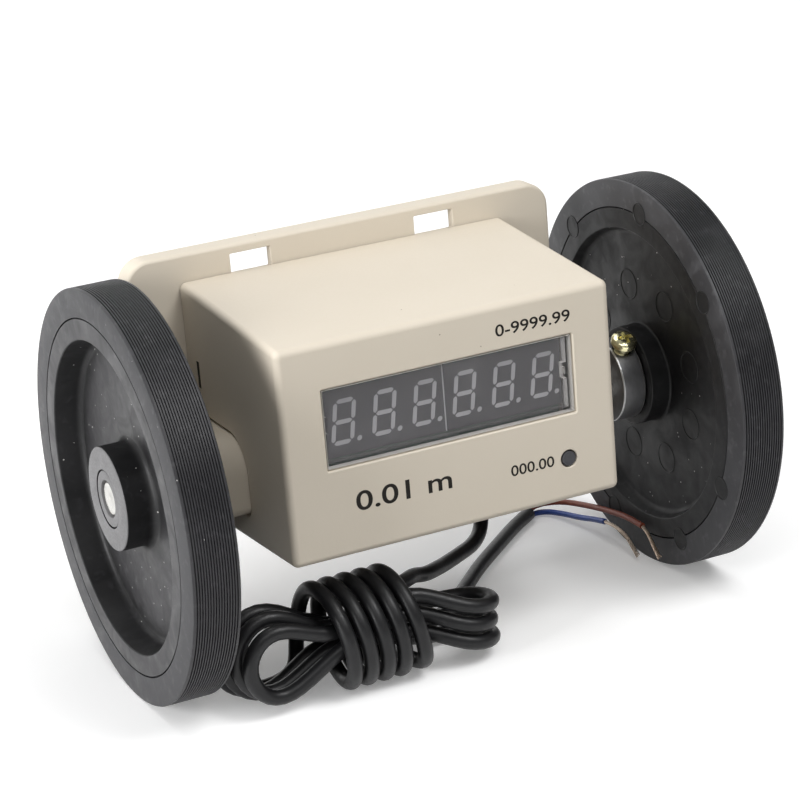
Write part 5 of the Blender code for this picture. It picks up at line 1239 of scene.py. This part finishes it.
def segment_outlines():
    """One digit's seven bars and its point, round its middle."""
    width, height, bar, joint = 5.6 * MM, 10.5 * MM, 1.06 * MM, 0.19 * MM
    point_out, point_up, point_radius, sides = 1.3 * MM, 0.65 * MM, 0.62 * MM, 24
    half_width, half_height, tip = width / 2 - bar / 2, height / 2 - bar / 2, bar / 2
    flat, tall = half_width - joint, half_height - joint
    point = (width / 2 + point_out, -height / 2 + point_up)
    bars = []
    for z in (-half_height, 0, half_height):
        bars.append([(-flat, z), (tip - flat, z - tip), (flat - tip, z - tip),
                     (flat, z), (flat - tip, z + tip), (tip - flat, z + tip)])
    for x in (-half_width, half_width):
        for low, high in ((-tall, -joint), (joint, tall)):
            bars.append([(x, low), (x + tip, low + tip), (x + tip, high - tip),
                         (x, high), (x - tip, high - tip), (x - tip, low + tip)])
    bars.append(arc(point, point_radius, 0, math.tau, sides)[:-1])
    return bars


def led_modules(finishes):
    """Two modules of three digits each. The bars are recesses with a pale fill."""
    slant, digit_pitch, depth = math.tan(math.radians(8)), 9.9 * MM, 0.3 * MM
    sunk, edge = 0.1 * MM, 0.18 * MM
    for name in ("left", "right"):
        node = "led_module_" + name
        low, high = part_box(node)
        module = box(name + "_module", low, high, finishes["panel"], edge)
        middle_x, middle_z = (low.x + high.x) / 2, (low.z + high.z) / 2
        cutters = bmesh.new()
        fills = bmesh.new()
        for digit in (-1, 0, 1):
            centre_x = middle_x + digit * digit_pitch
            for outline in segment_outlines():
                places = [(centre_x + x + z * slant, middle_z + z) for x, z in outline]
                for bm, front in ((cutters, -depth), (fills, sunk)):
                    add_loft(bm, [[(x, low.y + y, z) for x, z in places] for y in (front, depth)])
        cut(module, object_from("segment_cutters", cutters))
        soften(module, 30)
        keep(module, "housing", "display_grey", node)
        keep(object_from(name + "_segments", fills, finishes["segment"]), "housing", "display_grey")


# Plain printing on the front: numbers only

def printed(name, words, corner, width, height, finish):
    """Plain numbers on the front face. They fill width by height from their lower left corner (x, z)."""
    thickness, boldness, proud = 0.006 * MM, 0.011, 0.008 * MM
    text = bpy.data.curves.new(name, "FONT")
    text.body = words
    text.size = height
    text.extrude = thickness
    text.offset = boldness * height
    text.resolution_u = 6
    maker = linked(name, text)
    bpy.context.view_layer.update()
    graph = bpy.context.evaluated_depsgraph_get()
    mesh = bpy.data.meshes.new_from_object(maker.evaluated_get(graph))
    bpy.data.objects.remove(maker)
    low = [min(vertex.co[axis] for vertex in mesh.vertices) for axis in range(2)]
    high = [max(vertex.co[axis] for vertex in mesh.vertices) for axis in range(2)]
    scale = (width / (high[0] - low[0]), height / (high[1] - low[1]), 1, 1)
    placing = Matrix.Translation((corner[0], CASE_FRONT_Y - proud, corner[1]))
    placing = placing @ Matrix.Rotation(QUARTER, 4, "X") @ Matrix.Diagonal(scale)
    mesh.transform(placing @ Matrix.Translation((-low[0], -low[1], 0)))
    mesh.materials.clear()
    mesh.materials.append(finish)
    keep(linked(name, mesh), "housing", "ivory_plastic")


def printing(finishes):
    for name, words, corner, width, height in (("print_range", "0-9999.99", (9.1, 76.1), 18.9, 2.8),
                                               ("print_zero", "000.00", (10.6, 42.7), 11.1, 2.6),
                                               ("print_step", "0.01 m", (-27.9, 43.6), 23.6, 4.6)):
        printed(name, words, mm(corner)[0], width * MM, height * MM, finishes["ink"])


# CAD nodes that stay, with their finish

KEPT = {
    "display_board": "board", "main_board": "board", "transformer_core": "iron",
    "transformer_winding": "tape", "smoothing_capacitor": "can", "counter_chip": "chip",
    "photo_interrupter": "chip", "reset_switch": "chip", "encoder_disc": "film", "encoder_hub": "chip",
    "left_retaining_ring": "steel", "right_retaining_ring": "steel",
}


def finish_kept(finishes):
    """Gives each node that no fine piece replaces its finish. The ones not named above are zinc screws."""
    for name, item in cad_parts.items():
        if item.hide_render:
            continue
        item.data.materials.clear()
        item.data.materials.append(finishes[KEPT.get(name, "zinc")])


# Floor and light

FLOOR_NEAR = -0.85
FLOOR_FAR = 0.75
FLOOR_SIDE = 0.8
BACKDROP_BEND = 0.35
BACKDROP_TOP = 1.6
LIGHT_TARGET = (0.0, 0.0, 0.045)
LIGHTS = (
    ("key", (0.4, -0.62, 1.0), (0.55, 0.55), 7.8),
    ("top", (-0.05, 0.35, 1.1), (0.7, 0.5), 2.6),
    ("left", (-1.0, -0.15, 0.28), (0.5, 0.5), 12.0),
    ("fill", (-0.35, -0.75, 0.9), (0.5, 0.5), 2.0),
    ("back", (0.35, 0.85, 0.6), (0.5, 0.5), 3.0),
)
WORLD_LIGHT = 0.26
WORLD_SEEN = 1.0


def stage():
    """A floor that curves up into the backdrop."""
    start, steps = FLOOR_FAR - BACKDROP_BEND, 12
    outline = [(FLOOR_NEAR, 0.0), (start, 0.0)]
    for step in range(1, steps + 1):
        angle = QUARTER * step / steps
        outline.append((start + BACKDROP_BEND * math.sin(angle), BACKDROP_BEND * (1 - math.cos(angle))))
    outline.append((FLOOR_FAR, BACKDROP_TOP))
    bm = bmesh.new()
    rows = [[bm.verts.new((x, y, z)) for x in (-FLOOR_SIDE, FLOOR_SIDE)] for y, z in outline]
    for first, second in zip(rows, rows[1:]):
        bm.faces.new((first[0], first[1], second[1], second[0]))
    floor = object_from("floor", bm, floor_material(), 60)


def floor_material():
    """Paper that looks white where it is seen, also in gloss and through the lens, and bounces little."""
    shader = Shader("floor_paper", (0.36, 0.36, 0.36), 0.8, gloss=0.1)
    path = shader.node("LightPath").outputs
    seen = shader.number("ADD", path["Is Camera Ray"], path["Is Glossy Ray"])
    seen = shader.number("ADD", seen, path["Is Transmission Ray"])
    shader.tint(seen, (0.93, 0.93, 0.93))
    tone = shader.ramp(shader.noise(3.0, 2.0), 0.3, 0.7, 0.2, 0.21)
    shader.main.inputs["Emission Color"].default_value = (1.0, 1.0, 1.0, 1.0)
    shader.put(shader.main.inputs["Emission Strength"], shader.number("MULTIPLY", seen, tone))
    return shader.material


def area_light(name, place, size, power):
    data = bpy.data.lights.new(name, "AREA")
    data.shape = "RECTANGLE"
    data.size, data.size_y = size
    data.energy = power
    light = linked(name, data)
    light.location = place
    light.rotation_euler = (Vector(LIGHT_TARGET) - Vector(place)).to_track_quat("-Z", "Y").to_euler()


def lighting():
    for values in LIGHTS:
        area_light(*values)
    world = bpy.data.worlds.new("studio")
    world.use_nodes = True
    tree = world.node_tree
    background = tree.nodes["Background"]
    background.inputs["Color"].default_value = (1.0, 1.0, 1.0, 1.0)
    path = tree.nodes.new("ShaderNodeLightPath")
    strength = tree.nodes.new("ShaderNodeMapRange")
    strength.inputs["To Min"].default_value = WORLD_LIGHT
    strength.inputs["To Max"].default_value = WORLD_SEEN
    tree.links.new(path.outputs["Is Camera Ray"], strength.inputs["Value"])
    tree.links.new(strength.outputs[0], background.inputs["Strength"])
    bpy.context.scene.world = world


def main():
    bpy.context.scene.view_settings.view_transform = "Standard"
    add_camera()
    finishes = make_materials()
    make_cord(finishes)
    wheel("left", -1, finishes)
    wheel("right", 1, finishes)
    for make in (shaft, clamp_collar, front_cover, base_plate, case_screws, bushes, reset_button, lens,
                 led_modules, module_seam, printing, finish_kept):
        make(finishes)
    stage()
    lighting()


main()
